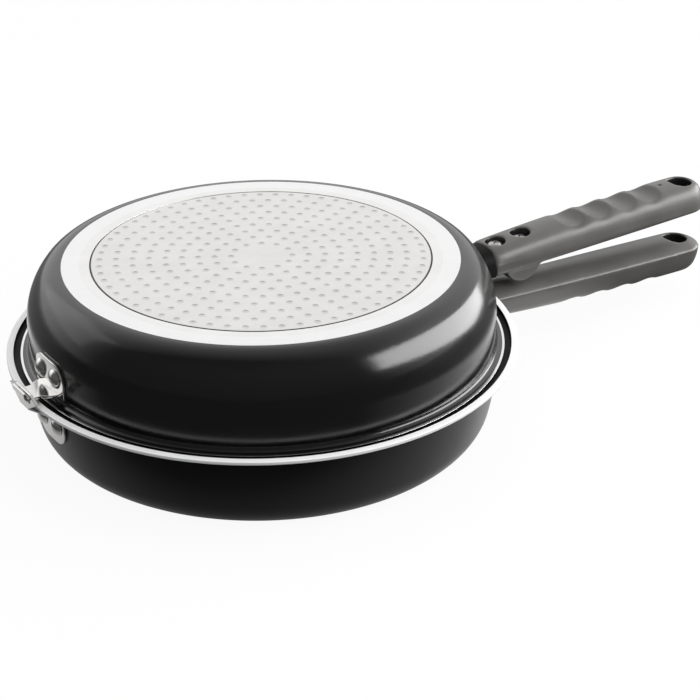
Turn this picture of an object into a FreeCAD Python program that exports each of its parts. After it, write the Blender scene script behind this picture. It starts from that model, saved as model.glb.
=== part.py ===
import FreeCAD, Part
import math
import os
import Sketcher
from FreeCAD import Placement, Rotation, Vector

# Double sided flip pan: two hinged frying pans with two handles.
# The origin is the centre of the lower base, +X runs along the handles, +Z is up.
# Handle parts are drawn in a local frame whose z = 0 is halfway between the two handles.

os.makedirs("parts", exist_ok=True)
doc = FreeCAD.newDocument("flip_pan")

# Driving sizes in millimetres

SIZES = {
    # both pans
    "lip_height": 46.6,
    "closed_height": 90.4,
    "lower_wall_radius": 119.6,
    "upper_inset": 1.1,
    "wall_thickness": 2.6,
    "base_thickness": 4.0,
    # lower pan: wall, flared lip and the seat for the upper rim
    "lower_base_share": 0.494949,
    "lower_corner_share": 1.29664,
    "flare_height": 7.0,
    "flare_root_out": 1.9,
    "flare_root_up": 1.8,
    "flare_mid_out": 5.9,
    "flare_mid_up": 2.8,
    "flare_edge_out": 9.3,
    "flare_edge_up": 5.1,
    "lip_reach": 10.4,
    "lip_thickness": 1.6,
    "seat_depth": 2.2,
    "seat_gap": 0.1,
    # upper pan: wall and rim
    "upper_base_share": 0.68,
    "upper_straight_rise": 16.3,
    "upper_corner_share": 1.25775,
    "rim_reach": 4.6,
    "rim_thickness": 1.3,
    "rim_fillet": 2.6,
    "rim_play": 3.3,
    # base plates
    "base_ring_width": 14.5,
    "plate_thickness": 1.0,
    "plate_gap": 0.25,
    "dot_ring_inset": 4.5,
    "dot_ring_inner": 15.4,
    "dot_ring_share": 0.125,
    "dot_radius": 1.7,
    "dot_depth": 0.3,
    # rivets
    "rivet_shank": 2.5,
    "hinge_rivet_head": 5.0,
    "hinge_rivet_dome": 2.8,
    "foot_rivet_head": 4.1,
    "foot_rivet_dome": 1.9,
    "rivet_inner_head": 4.2,
    "rivet_inner_thickness": 1.0,
    "rivet_inner_gap": 0.1,
    "rivet_clearance": 0.08,
    "seat_clearance": 0.05,
    # hinge: the lower bracket rises on a slanted neck to a winged plate with a bar and a slot, and
    # the upper bracket hooks over the bar
    "hinge_sheet": 1.4,
    "hinge_rivet_offset": 7.4,
    "bar_rise": 6.3,
    "bar_gap": 1.7,
    "bar_half_thickness": 0.75,
    "bar_half_height": 1.1,
    "hook_clearance": 0.35,
    "hook_half_width": 6.7,
    "hook_lip": 1.6,
    "slot_play": 1.3,
    "hinge_plate_half_width": 15.5,
    "hinge_plate_shoulder_rise": 5.0,
    "hinge_neck_half_width": 5.2,
    "hinge_neck_drop": 1.1,
    "hinge_arm_bend_reach": 3.7,
    "lower_hinge_foot_length": 16.8,
    "lower_hinge_foot_half_width": 14.1,
    "lower_hinge_foot_corner": 9.0,
    "lower_hinge_rivet_drop": 6.5,
    "upper_hinge_plate_length": 16.6,
    "upper_hinge_plate_half_width": 14.9,
    "upper_hinge_plate_corner": 9.0,
    "upper_hinge_rivet_rise": 8.8,
    "tongue_half_width": 10.5,
    "tongue_straight": 6.0,
    "tongue_sweep": 12.0,
    # handle brackets and flame guards
    "mid_drop": 4.85,
    "foot_bottom": 7.25,
    "foot_height": 11.95,
    "foot_thickness": 1.8,
    "foot_half_width": 17.1,
    "foot_corner": 4.0,
    "foot_rivet_offset": 11.9,
    "foot_rivet_rise": 5.95,
    "tang_half_width": 6.5,
    "tang_rise": 3.75,
    "tang_thickness": 3.0,
    "tang_length": 36.5,
    "guard_standoff": 4.0,
    "guard_lip_clearance": 1.55,
    "guard_gap": 0.2,
    "guard_sheet": 1.0,
    "guard_side_inset": 0.4,
    "guard_rise": 14.2,
    # handles
    "root_standoff": 19.9,
    "swell_length": 35.5,
    "grip_length": 141.2,
    "root_edge_height": 7.6,
    "swell_edge_height": 8.8,
    "end_edge_height": 12.2,
    "root_half_width": 13.4,
    "swell_half_width": 14.1,
    "end_half_width": 14.3,
    "root_rise": 13.8,
    "swell_rise": 15.3,
    "end_rise": 15.9,
    "crown": 4.8,
    "side_curve": 30.0,
    "corner_curve": 8.0,
    "top_curve": 26.0,
    "scallop_radius": 12.0,
    "scallop_depth": 2.8,
    "scallop_end_gap": 28.2,
    "scallop_pitch": 18.5,
    "hang_hole_radius": 7.0,
    "gate_gap": 15.0,
    "gate_radius": 1.3,
    "gate_depth": 1.2,
    "socket_clearance": 0.3,
    "socket_end_gap": 2.0,
    "lug_inset": 19.5,
    "lug_step": 0.5,
    "lug_half_length": 12.0,
    "lug_radius": 12.4,
    "lug_side_inset": 1.2,
    # handle screws and washers
    "front_screw_inset": 8.0,
    "screw_pitch": 17.0,
    "recess_boss": 3.4,
    "recess_play": 0.5,
    "screw_hole_clearance": 0.35,
    "screw_shank": 2.45,
    "screw_head_radius": 4.1,
    "screw_head_height": 2.4,
    "screw_tip_stop": 0.15,
    "cross_half_width": 0.45,
    "cross_half_length": 2.3,
    "cross_depth": 1.1,
    "washer_radius": 5.1,
    "washer_play": 0.15,
    "washer_thickness": 0.8,
    # one overrun for all cuts
    "overrun": 5.0,
}

# Sizes and places that are sums of others

SUMS = {
    "upper_wall_radius": "lower_wall_radius - upper_inset",
    "lower_wall_top": "lip_height - flare_height",
    "lower_base_inset": "lower_base_share * lower_wall_top",
    "lower_base_radius": "lower_wall_radius - lower_base_inset",
    "lower_inner_corner_radius": "lower_corner_radius - wall_thickness",
    "lip_radius": "lower_wall_radius + lip_reach",
    "upper_wall_top": "lip_height + upper_straight_rise",
    "upper_corner_height": "closed_height - upper_wall_top",
    "upper_base_inset": "upper_base_share * upper_corner_height",
    "upper_base_radius": "upper_wall_radius - upper_base_inset",
    "upper_inner_corner_radius": "upper_corner_radius - wall_thickness",
    "rim_radius": "upper_wall_radius + rim_reach",
    "rim_foot": "lip_height - seat_depth + seat_gap",
    "rim_top": "rim_foot + rim_thickness",
    "lip_inner_radius": "rim_radius + rim_play",
    "plate_radius": "lower_base_radius - base_ring_width",
    "dot_ring_outer": "plate_radius - dot_ring_inset",
    "dot_ring_span": "dot_ring_outer - dot_ring_inner",
    "dot_ring_step": "dot_ring_share * dot_ring_span",
    "bar_height": "lip_height + bar_rise",
    "bar_offset": "lip_radius + bar_gap + bar_half_thickness",
    "slot_half_width": "hook_half_width + slot_play",
    "hinge_plate_shoulder": "lip_height + hinge_plate_shoulder_rise",
    "hinge_neck_foot": "lip_height - hinge_neck_drop",
    "hinge_arm_bend": "lower_wall_radius + hinge_arm_bend_reach",
    "lower_hinge_foot_bottom": "lower_wall_top - lower_hinge_foot_length",
    "lower_hinge_rivet_height": "lower_wall_top - lower_hinge_rivet_drop",
    "tongue_bottom": "bar_height - hook_inner - hinge_sheet",
    "upper_hinge_plate_top": "tongue_bottom + upper_hinge_plate_length",
    "upper_hinge_rivet_height": "tongue_bottom + upper_hinge_rivet_rise",
    "tongue_reach": "bar_offset - tongue_straight",
    "mid_height": "lip_height - mid_drop",
    "foot_top": "foot_bottom + foot_height",
    "foot_rivet_height": "foot_bottom + foot_rivet_rise",
    "lower_foot_rivet_height": "mid_height - foot_rivet_height",
    "upper_foot_rivet_height": "mid_height + foot_rivet_height",
    "tang_bottom": "foot_bottom + tang_rise",
    "tang_end": "handle_root + tang_length",
    "guard_start": "lower_wall_radius + guard_standoff",
    "guard_bottom": "mid_drop + guard_lip_clearance",
    "guard_half_width": "root_half_width - guard_side_inset",
    "handle_root": "lower_wall_radius + root_standoff",
    "handle_swell": "handle_root + swell_length",
    "handle_end": "handle_root + grip_length",
    "scallop_last": "handle_end - scallop_end_gap",
    "gate_place": "handle_end - gate_gap",
    "lug_centre": "handle_root + lug_inset",
    "lug_level": "root_edge_height + lug_step",
    "lug_half_width": "root_half_width - lug_side_inset",
    "front_screw_place": "handle_root + front_screw_inset",
    "rear_screw_place": "front_screw_place + screw_pitch",
    "recess_floor": "tang_bottom + tang_thickness + recess_boss",
    "recess_radius": "washer_radius + recess_play",
    "washer_bore": "screw_shank + washer_play",
}

# Counts

RING_COUNT = 9
DOTS_PER_SECTOR = 10
SECTOR_COUNT = 6
SCALLOP_COUNT = 4


# Helpers for sums of named sizes, such as "lip_radius - lip_thickness"

def number(words):
    """Value of a sum of named sizes and of their products."""
    total = 0.0
    term = 0.0
    joiner = "+"
    for word in words.split():
        if word in ("+", "-", "*"):
            joiner = word
            continue
        value = 0.0 if word == "0" else number(SUMS[word]) if word in SUMS else SIZES[word]
        if joiner == "*":
            term *= value
        else:
            total += term
            term = value if joiner == "+" else -value
    return total + term


def cells(words):
    """The same sum as an expression on the sheet's cells."""
    out = []
    for word in words.split():
        if word in SUMS:
            out.append("(%s)" % cells(SUMS[word]))
        else:
            out.append(word if word in ("+", "-", "*", "0") else "Sizes." + word)
    return " ".join(out)


def bind(thing, path, words):
    thing.setExpression(path, cells(words))


# Sizes that follow from the others by more than a sum

def small_corner_radius(across, up, share):
    """Small arc of a two-arc corner, as a share of the room that the corner has both ways."""
    return share * across * up / (across + up)


def large_corner_radius(across, up, small):
    """Large arc of a two-arc corner that runs from an upright wall to a level base."""
    return (across ** 2 + up ** 2 - 2 * up * small) / (2 * (across - small))


def spread(half_width, radius):
    """Angle in degrees that a width takes up on a round wall."""
    return math.degrees(2 * math.asin(number(half_width) / number(radius)))


SIZES["lower_corner_radius"] = small_corner_radius(
    number("lower_base_inset"), number("lower_wall_top"), number("lower_corner_share"))
SIZES["upper_corner_radius"] = small_corner_radius(
    number("upper_base_inset"), number("upper_corner_height"), number("upper_corner_share"))
SIZES["lower_wall_curve"] = large_corner_radius(
    number("lower_base_inset"), number("lower_wall_top"), number("lower_corner_radius"))
SIZES["upper_wall_curve"] = large_corner_radius(
    number("upper_base_inset"), number("upper_corner_height"), number("upper_corner_radius"))
bar_corner = math.hypot(number("bar_half_thickness"), number("bar_half_height"))
SIZES["hook_inner"] = bar_corner + number("hook_clearance")
hook_corner = math.hypot(number("hook_inner + hinge_sheet"), number("hook_lip"))
SIZES["slot_reach"] = hook_corner + number("hook_clearance")
SIZES["arm_inset"] = number("hinge_sheet") / 2
arm_slope = math.atan2(number("hinge_neck_foot - lower_wall_top"),
                       number("bar_offset - bar_half_thickness - hinge_arm_bend"))
SIZES["arm_bend_step"] = number("hinge_sheet") * math.tan(arm_slope / 2)
SIZES["neck_foot_step"] = (number("hinge_sheet") / math.cos(arm_slope)
                           - number("bar_half_thickness + bar_half_thickness") * math.tan(arm_slope))
SIZES["tang_inset"] = number("foot_thickness") / 2
SIZES["lower_hinge_foot_angle"] = spread("lower_hinge_foot_half_width", "lower_wall_radius")
SIZES["upper_hinge_plate_angle"] = spread("upper_hinge_plate_half_width", "upper_wall_radius")
SIZES["lower_foot_angle"] = spread("foot_half_width", "lower_wall_radius")
SIZES["upper_foot_angle"] = spread("foot_half_width", "upper_wall_radius")

sheet = doc.addObject("Spreadsheet::Sheet", "Sizes")
for row, (alias, value) in enumerate(SIZES.items(), start=1):
    sheet.set("A%d" % row, alias)
    sheet.set("B%d" % row, str(value))
    sheet.setAlias("B%d" % row, alias)
doc.recompute()

nodes = []


def keep(thing, name):
    """Give a finished sub-part its label and list it for export."""
    thing.Label = name
    nodes.append(thing)
    return thing


# Helpers for bodies and sketches

def new_body(name):
    return doc.addObject("PartDesign::Body", name)


def origin_plane(body, role):
    return next(item for item in body.Origin.OriginFeatures if item.Role == role)


def new_sketch(body, name, role, offset="0", turn=0, place=None):
    """Sketch on an origin plane of its own body: moved along the plane's normal, turned about its
    own upright axis, or set at a place that is worked out."""
    sketch = body.newObject("Sketcher::SketchObject", name)
    sketch.AttachmentSupport = [(origin_plane(body, role), "")]
    sketch.MapMode = "FlatFace"
    if place:
        sketch.AttachmentOffset = place
    else:
        sketch.AttachmentOffset = Placement(Vector(0, 0, 0), Rotation(Vector(0, 1, 0), turn))
        bind(sketch, "AttachmentOffset.Base.z", offset)
    return sketch


def fix(sketch, line, end, axis, words):
    """Hold one coordinate of a line's end at a sum of named sizes."""
    if words == "0":
        sketch.addConstraint(Sketcher.Constraint("PointOnObject", line, end, -2 if axis == "X" else -1))
        return
    value = number(words)
    index = sketch.addConstraint(Sketcher.Constraint("Distance" + axis, -1, 1, line, end, value))
    bind(sketch, "Constraints[%d]" % index, words)


def outline(sketch, corners, arcs=None, smooth=()):
    """Closed outline through corners. A coordinate is a sum of sizes, or a number where tangency
    sets it. arcs[i] describes the curved side from corner i to the next, and smooth lists the
    corners where two sides run into each other without a kink."""
    arcs = arcs or {}
    points = [Vector(*[number(c) if isinstance(c, str) else c for c in corner], 0) for corner in corners]
    count = len(points)
    ends = []
    for i, start in enumerate(points):
        stop = points[(i + 1) % count]
        if i not in arcs:
            sketch.addGeometry(Part.LineSegment(start, stop), False)
            ends.append((1, 2))
            continue
        centre = arc_centre(start, stop, arcs[i])
        first = math.atan2(start.y - centre.y, start.x - centre.x)
        last = math.atan2(stop.y - centre.y, stop.x - centre.x)
        leftward = (last - first) % (2 * math.pi) < math.pi
        circle = Part.Circle(centre, Vector(0, 0, 1), start.distanceToPoint(centre))
        pair = (first, last) if leftward else (last, first)
        sketch.addGeometry(Part.ArcOfCircle(circle, *pair), False)
        ends.append((1, 2) if leftward else (2, 1))
    for i in range(count):
        before = (i - 1) % count
        kind = "Tangent" if i in smooth else "Coincident"
        sketch.addConstraint(Sketcher.Constraint(kind, before, ends[before][1], i, ends[i][0]))
        for axis, words in zip("XY", corners[i]):
            if isinstance(words, str):
                fix(sketch, i, ends[i][0], axis, words)
    for i, arc in arcs.items():
        if "radius" in arc:
            value = number(arc["radius"])
            index = sketch.addConstraint(Sketcher.Constraint("Radius", i, value))
            bind(sketch, "Constraints[%d]" % index, arc["radius"])
        if "centre_x" in arc:
            fix(sketch, i, 3, "X", arc["centre_x"])
        if "centre_of" in arc:
            sketch.addConstraint(Sketcher.Constraint("Coincident", i, 3, arc["centre_of"], 3))
        elif "centre_y" in arc:
            fix(sketch, i, 3, "Y", arc["centre_y"])
    return sketch


def arc_centre(start, stop, arc):
    """Centre given outright, or worked out from the radius and the side it lies on."""
    if "centre" in arc:
        return Vector(*arc["centre"], 0)
    chord = stop - start
    radius = number(arc["radius"])
    reach = math.sqrt(max(radius ** 2 - chord.Length ** 2 / 4, 0))
    sideways = Vector(-chord.y, chord.x, 0).normalize()
    return (start + stop) / 2 + sideways * reach * arc["side"]


def circle(sketch, x, y, radius):
    """Circle whose centre and radius are sums of named sizes."""
    centre = Vector(number(x), number(y), 0)
    index = sketch.addGeometry(Part.Circle(centre, Vector(0, 0, 1), number(radius)), False)
    fix(sketch, index, 3, "X", x)
    fix(sketch, index, 3, "Y", y)
    place = sketch.addConstraint(Sketcher.Constraint("Radius", index, number(radius)))
    bind(sketch, "Constraints[%d]" % place, radius)
    return sketch


def polar_circle(sketch, reach, angle, radius):
    """Circle whose centre lies at an angle on a ring about the origin."""
    spot = Rotation(Vector(0, 0, 1), angle).multVec(Vector(number(reach), 0, 0))
    index = sketch.addGeometry(Part.Circle(spot, Vector(0, 0, 1), number(radius)), False)
    for kind, trig, value in (("DistanceX", "cos", spot.x), ("DistanceY", "sin", spot.y)):
        held = sketch.addConstraint(Sketcher.Constraint(kind, -1, 1, index, 3, value))
        sketch.setExpression("Constraints[%d]" % held, "(%s) * %s(%.6f)" % (cells(reach), trig, angle))
    held = sketch.addConstraint(Sketcher.Constraint("Radius", index, number(radius)))
    bind(sketch, "Constraints[%d]" % held, radius)


def box_outline(sketch, x0, x1, y0, y1):
    return outline(sketch, [(x0, y0), (x1, y0), (x1, y1), (x0, y1)])


def pad(body, sketch, length, middle=False, backward=False):
    feature = body.newObject("PartDesign::Pad", "Pad")
    feature.Profile = sketch
    feature.SideType = "Symmetric" if middle else "One side"
    feature.Reversed = backward
    bind(feature, "Length", length)
    doc.recompute()
    return feature


def pocket(body, sketch, length, middle=False, backward=False):
    """Cut a sketch out of the body and make sure that it took something away."""
    before = body.Shape.Volume
    feature = body.newObject("PartDesign::Pocket", "Pocket")
    feature.Profile = sketch
    feature.SideType = "Symmetric" if middle else "One side"
    feature.Reversed = backward
    bind(feature, "Length", length)
    doc.recompute()
    if not body.Shape.Volume < before:
        raise ValueError("a pocket of %s cut nothing" % body.Name)
    return feature


def revolve(body, sketch, angle=None, middle=False, backward=False):
    feature = body.newObject("PartDesign::Revolution", "Revolution")
    feature.Profile = sketch
    feature.ReferenceAxis = (sketch, ["V_Axis"])
    feature.Angle = 360
    feature.Reversed = backward
    if angle == "half":
        feature.Angle = 180
    elif angle:
        bind(feature, "Angle", angle)
    feature.Midplane = middle
    doc.recompute()
    return feature


def round_edges(body, spots, radius):
    """Fillet the edges whose middles lie nearest to the given spots."""
    edges = body.Shape.Edges
    names = []
    for spot in spots:
        gaps = [middle_of(edge).distanceToPoint(spot) for edge in edges]
        names.append("Edge%d" % (gaps.index(min(gaps)) + 1))
    rounded = body.Tip
    feature = body.newObject("PartDesign::Fillet", "Fillet")
    feature.Base = (rounded, names)
    bind(feature, "Radius", radius)
    doc.recompute()
    return feature


def middle_of(edge):
    return edge.valueAt((edge.FirstParameter + edge.LastParameter) / 2)


# Pan shells: a turned profile with a two-arc corner between the wall and the flat base

def outer_corner(side_radius, side_height, large, base_radius, base_height, small):
    """Join and centres of a two-arc corner. The small arc meets the base level, and the large one
    meets the wall upright."""
    sense = 1 if base_height > side_height else -1
    large_centre = (side_radius - large, side_height)
    small_centre = (base_radius, base_height - sense * small)
    gap = math.hypot(small_centre[0] - large_centre[0], small_centre[1] - large_centre[1])
    unit = [(small_centre[i] - large_centre[i]) / gap for i in (0, 1)]
    return tuple(small_centre[i] + small * unit[i] for i in (0, 1)), large_centre, small_centre


def inner_corner(large_centre, large, floor, small):
    """Join and centre of an inner corner arc that touches the floor and the wall's inner arc."""
    rise = abs(large_centre[1] - floor) - small
    across = math.sqrt((large - small) ** 2 - rise ** 2)
    sense = 1 if floor > large_centre[1] else -1
    centre = (large_centre[0] + across, floor - sense * small)
    unit = [(centre[i] - large_centre[i]) / (large - small) for i in (0, 1)]
    return tuple(centre[i] + small * unit[i] for i in (0, 1)), centre


def rivet_frame(outward, side, offset, half, height, flipped=False):
    """Frame on the outer wall surface whose x axis stands square on the wall. outward is 1 on the
    handle side and -1 on the hinge side, and flipped is for handle parts of the lower half."""
    wall = number(half + "_wall_radius")
    lean = 0.0
    level = number(height)
    if half == "lower":
        curve = number("lower_wall_curve")
        centre = number("mid_height - lower_wall_top") if flipped else number("lower_wall_top")
        lean = math.asin((level - centre) / curve)
        wall += curve * (math.cos(lean) - 1)
    heading = math.asin(number(offset) / wall) * side
    heading = heading if outward > 0 else math.pi - heading
    turn = Rotation(Vector(0, 0, 1), math.degrees(heading)) * Rotation(Vector(0, 1, 0), -math.degrees(lean))
    place = Vector(wall * math.cos(heading), wall * math.sin(heading), level)
    return Placement(place, turn)


def rivet_holes(body, name, outward, offset, half, height, flipped=False):
    """Two holes through the wall, square to it, either side of the middle plane."""
    for side in (1, -1):
        upright = Placement(Vector(0, 0, 0), Rotation(Vector(1, 1, 1), 120))
        place = upright.inverse() * rivet_frame(outward, side, offset, half, height, flipped) * upright
        sketch = new_sketch(body, name + ("Far" if side > 0 else "Near"), "YZ_Plane", place=place)
        circle(sketch, "0", "0", "rivet_shank + rivet_clearance")
        pocket(body, sketch, "overrun + overrun + wall_thickness", middle=True)


def lower_pan():
    body = new_body("LowerPan")
    sketch = new_sketch(body, "LowerProfile", "XZ_Plane")
    join, big, small = outer_corner(
        number("lower_wall_radius"), number("lower_wall_top"), number("lower_wall_curve"),
        number("lower_base_radius"), 0, number("lower_corner_radius"))
    in_join, in_centre = inner_corner(
        big, number("lower_wall_curve - wall_thickness"), number("base_thickness"),
        number("lower_inner_corner_radius"))
    seat = "lip_height - seat_depth"
    inner_wall = "lower_wall_radius - wall_thickness"
    corners = [
        ("0", "plate_thickness"), ("plate_radius + plate_gap", "plate_thickness"),
        ("plate_radius + plate_gap", "0"), ("lower_base_radius", "0"), join,
        ("lower_wall_radius", "lower_wall_top"),
        ("lower_wall_radius + flare_root_out", "lower_wall_top + flare_root_up"),
        ("lower_wall_radius + flare_mid_out", "lower_wall_top + flare_mid_up"),
        ("lower_wall_radius + flare_edge_out", "lower_wall_top + flare_edge_up"),
        ("lip_radius", "lip_height - lip_thickness"), ("lip_radius", "lip_height"),
        ("lip_inner_radius", "lip_height"), ("lip_inner_radius", seat), (inner_wall, seat),
        (inner_wall, "lower_wall_top"), in_join, (in_centre[0], "base_thickness"), ("0", "base_thickness")]
    arcs = {
        3: {"centre": small, "radius": "lower_corner_radius", "centre_x": "lower_base_radius"},
        4: {"centre": big, "centre_y": "lower_wall_top"},
        14: {"centre": big, "centre_of": 4},
        15: {"centre": in_centre, "radius": "lower_inner_corner_radius"}}
    outline(sketch, corners, arcs, smooth=(4, 15, 16))
    revolve(body, sketch)
    rivet_holes(body, "HingeHole", -1, "hinge_rivet_offset", "lower", "lower_hinge_rivet_height")
    rivet_holes(body, "FootHole", 1, "foot_rivet_offset", "lower", "lower_foot_rivet_height")
    return keep(body, "lower_pan")


def upper_pan():
    body = new_body("UpperPan")
    sketch = new_sketch(body, "UpperProfile", "XZ_Plane")
    join, big, small = outer_corner(
        number("upper_wall_radius"), number("upper_wall_top"), number("upper_wall_curve"),
        number("upper_base_radius"), number("closed_height"), number("upper_corner_radius"))
    floor = "closed_height - base_thickness"
    in_join, in_centre = inner_corner(
        big, number("upper_wall_curve - wall_thickness"), number(floor), number("upper_inner_corner_radius"))
    under = "closed_height - plate_thickness"
    inner_wall = "upper_wall_radius - wall_thickness"
    corners = [
        ("0", floor), (in_centre[0], floor), in_join,
        (inner_wall, "upper_wall_top"), (inner_wall, "rim_foot"), ("rim_radius", "rim_foot"),
        ("rim_radius", "rim_top"), ("upper_wall_radius + rim_fillet", "rim_top"),
        ("upper_wall_radius", "rim_top + rim_fillet"), ("upper_wall_radius", "upper_wall_top"), join,
        ("upper_base_radius", "closed_height"), ("plate_radius + plate_gap", "closed_height"),
        ("plate_radius + plate_gap", under), ("0", under)]
    arcs = {
        1: {"centre": in_centre, "radius": "upper_inner_corner_radius"},
        2: {"centre": big, "centre_of": 9},
        7: {"radius": "rim_fillet", "side": -1},
        9: {"centre": big, "centre_y": "upper_wall_top"},
        10: {"centre": small, "radius": "upper_corner_radius", "centre_x": "upper_base_radius"}}
    outline(sketch, corners, arcs, smooth=(1, 2, 10))
    revolve(body, sketch)
    rivet_holes(body, "HingeHole", -1, "hinge_rivet_offset", "upper", "upper_hinge_rivet_height")
    rivet_holes(body, "FootHole", 1, "foot_rivet_offset", "upper", "upper_foot_rivet_height")
    return keep(body, "upper_pan")


# Base plates: steel discs with rings of shallow dots

def base_plates():
    """The lower plate faces down, and the upper one is its mirror image at the closed pan's top."""
    body = new_body("BasePlate")
    pad(body, circle(new_sketch(body, "Disc", "XY_Plane"), "0", "0", "plate_radius"), "plate_thickness")
    sector = new_sketch(body, "DotSector", "XY_Plane")
    for ring in range(RING_COUNT):
        reach = "dot_ring_outer" + " - dot_ring_step" * ring
        count = DOTS_PER_SECTOR - ring
        for dot in range(count):
            angle = 360 / SECTOR_COUNT * (dot + ring % 2 / 2) / count
            polar_circle(sector, reach, angle, "dot_radius")
    dots = pocket(body, sector, "dot_depth", backward=True)
    pattern = body.newObject("PartDesign::PolarPattern", "Dots")
    pattern.Originals = [dots]
    pattern.Axis = (origin_plane(body, "Z_Axis"), [""])
    pattern.Angle = 360
    pattern.Occurrences = SECTOR_COUNT
    body.Tip = pattern
    doc.recompute()
    keep(body, "lower_base_plate")
    twin = doc.addObject("Part::Mirroring", "UpperBasePlate")
    twin.Source = body
    twin.Normal = Vector(0, 0, 1)
    twin.setExpression("Base.z", "Sizes.closed_height / 2")
    doc.recompute()
    return keep(twin, "upper_base_plate")


# Rivets: one turned rivet, laid level and turned to stand square on the wall, and its mirror image

def rivet_pair(name, outward, half, height, offset, sheet_name, kind):
    body = new_body(name.title().replace("_", "") + "One")
    sketch = new_sketch(body, "RivetProfile", "XZ_Plane")
    head = kind + "_rivet_head"
    inner = "0 - wall_thickness - rivet_inner_gap"
    outer = "seat_clearance + " + sheet_name
    rise = number(kind + "_rivet_dome")
    dome = (number(head) ** 2 + rise ** 2) / (2 * rise)
    crest = outer + " + " + kind + "_rivet_dome"
    corners = [
        ("0", inner + " - rivet_inner_thickness"), ("rivet_inner_head", inner + " - rivet_inner_thickness"),
        ("rivet_inner_head", inner), ("rivet_shank", inner), ("rivet_shank", outer), (head, outer),
        ("0", crest)]
    outline(sketch, corners, {5: {"centre": (0.0, number(crest) - dome), "centre_x": "0"}})
    revolve(body, sketch)
    body.Placement = rivet_frame(outward, 1, offset, half, height) * Placement(
        Vector(0, 0, 0), Rotation(Vector(0, 1, 0), 90))
    twin = doc.addObject("Part::Mirroring", name.title().replace("_", "") + "Twin")
    twin.Source = body
    twin.Normal = Vector(0, 1, 0)
    pair = doc.addObject("Part::Compound", name.title().replace("_", ""))
    pair.Links = [body, twin]
    doc.recompute()
    return keep(pair, name)


# Hinge brackets

def skin_radius(half, level, flipped=False):
    """Inner radius at one level of a foot that lies on the wall. The lower wall is slightly bowed
    in profile, so a foot on it has the same centre of curvature."""
    wall = number(half + "_wall_radius")
    gap = number("seat_clearance")
    if half == "upper":
        return wall + gap
    curve = number("lower_wall_curve")
    centre = number("mid_height - lower_wall_top") if flipped else number("lower_wall_top")
    return wall - curve + math.sqrt((curve + gap) ** 2 - (number(level) - centre) ** 2)


def wall_foot(body, outward, half, bottom, top, thickness, width, flipped=False):
    """Plate that lies on the wall, as a profile turned part of the way about the pan's axis."""
    sketch = new_sketch(body, "FootProfile", "XZ_Plane", turn=0 if outward > 0 else 180)
    skin = half + "_wall_radius + seat_clearance"
    if half == "upper":
        box_outline(sketch, skin, skin + " + " + thickness, bottom, top)
    else:
        centre_y = "mid_height - lower_wall_top" if flipped else "lower_wall_top"
        centre_x = "lower_wall_radius - lower_wall_curve"
        centre = (number(centre_x), number(centre_y))
        low, high = [skin_radius(half, level, flipped) for level in (bottom, top)]
        thick = number(thickness)
        bow = "lower_wall_curve + seat_clearance"
        corners = [(low, bottom), (low + thick, bottom), (high + thick, top), (high, top)]
        outer = {"centre": centre, "centre_x": centre_x, "centre_y": centre_y}
        outer["radius"] = bow + " + " + thickness
        outline(sketch, corners, {1: outer, 3: {"centre": centre, "centre_of": 1, "radius": bow}})
    return revolve(body, sketch, angle=width, middle=True)


def foot_spots(outward, half, levels, thickness, width, flipped=False):
    """Middles of a foot's short corner edges at the given levels."""
    swing = math.radians(number(width) / 2)
    spots = []
    for level in levels:
        reach = skin_radius(half, level, flipped) + number(thickness) / 2
        along = outward * reach * math.cos(swing)
        aside = reach * math.sin(swing)
        spots += [Vector(along, aside, number(level)), Vector(along, -aside, number(level))]
    return spots


def lower_hinge_bracket():
    body = new_body("LowerHingeBracket")
    foot = (-1, "lower", "lower_hinge_foot_bottom", "lower_wall_top", "hinge_sheet", "lower_hinge_foot_angle")
    wall_foot(body, *foot)
    spots = foot_spots(-1, "lower", ["lower_hinge_foot_bottom"], "hinge_sheet", "lower_hinge_foot_angle")
    round_edges(body, spots, "lower_hinge_foot_corner")
    arm = new_sketch(body, "Arm", "XZ_Plane", turn=180)
    root = "lower_wall_radius + seat_clearance + arm_inset"
    below = "lower_wall_top - hinge_sheet"
    neck_bottom = "hinge_neck_foot - neck_foot_step"
    outline(arm, [
        (root, below), ("hinge_arm_bend + arm_bend_step", below),
        ("bar_offset + bar_half_thickness", neck_bottom),
        ("bar_offset - bar_half_thickness", "hinge_neck_foot"),
        ("hinge_arm_bend", "lower_wall_top"), (root, "lower_wall_top")])
    pad(body, arm, "hinge_neck_half_width + hinge_neck_half_width", middle=True)
    plate = new_sketch(body, "Plate", "YZ_Plane", offset="0 - bar_offset - bar_half_thickness")
    crest = "bar_height + bar_half_height"
    neck = "hinge_neck_half_width"
    wing = "hinge_plate_half_width"
    corners = [
        ("0 - " + neck, neck_bottom), (neck, neck_bottom), (neck, "hinge_neck_foot"),
        (wing, "hinge_plate_shoulder"), ("slot_half_width", crest), ("0 - slot_half_width", crest),
        ("0 - " + wing, "hinge_plate_shoulder"), ("0 - " + neck, "hinge_neck_foot")]
    outline(plate, corners)
    pad(body, plate, "bar_half_thickness + bar_half_thickness")
    slot = new_sketch(body, "Slot", "YZ_Plane", offset="0 - bar_offset - overrun")
    box_outline(slot, "0 - slot_half_width", "slot_half_width", "bar_height - slot_reach",
                "bar_height - bar_half_height")
    pocket(body, slot, "overrun + overrun", backward=True)
    rivet_holes(body, "RivetHole", -1, "hinge_rivet_offset", "lower", "lower_hinge_rivet_height")
    return keep(body, "lower_hinge_bracket")


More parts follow.
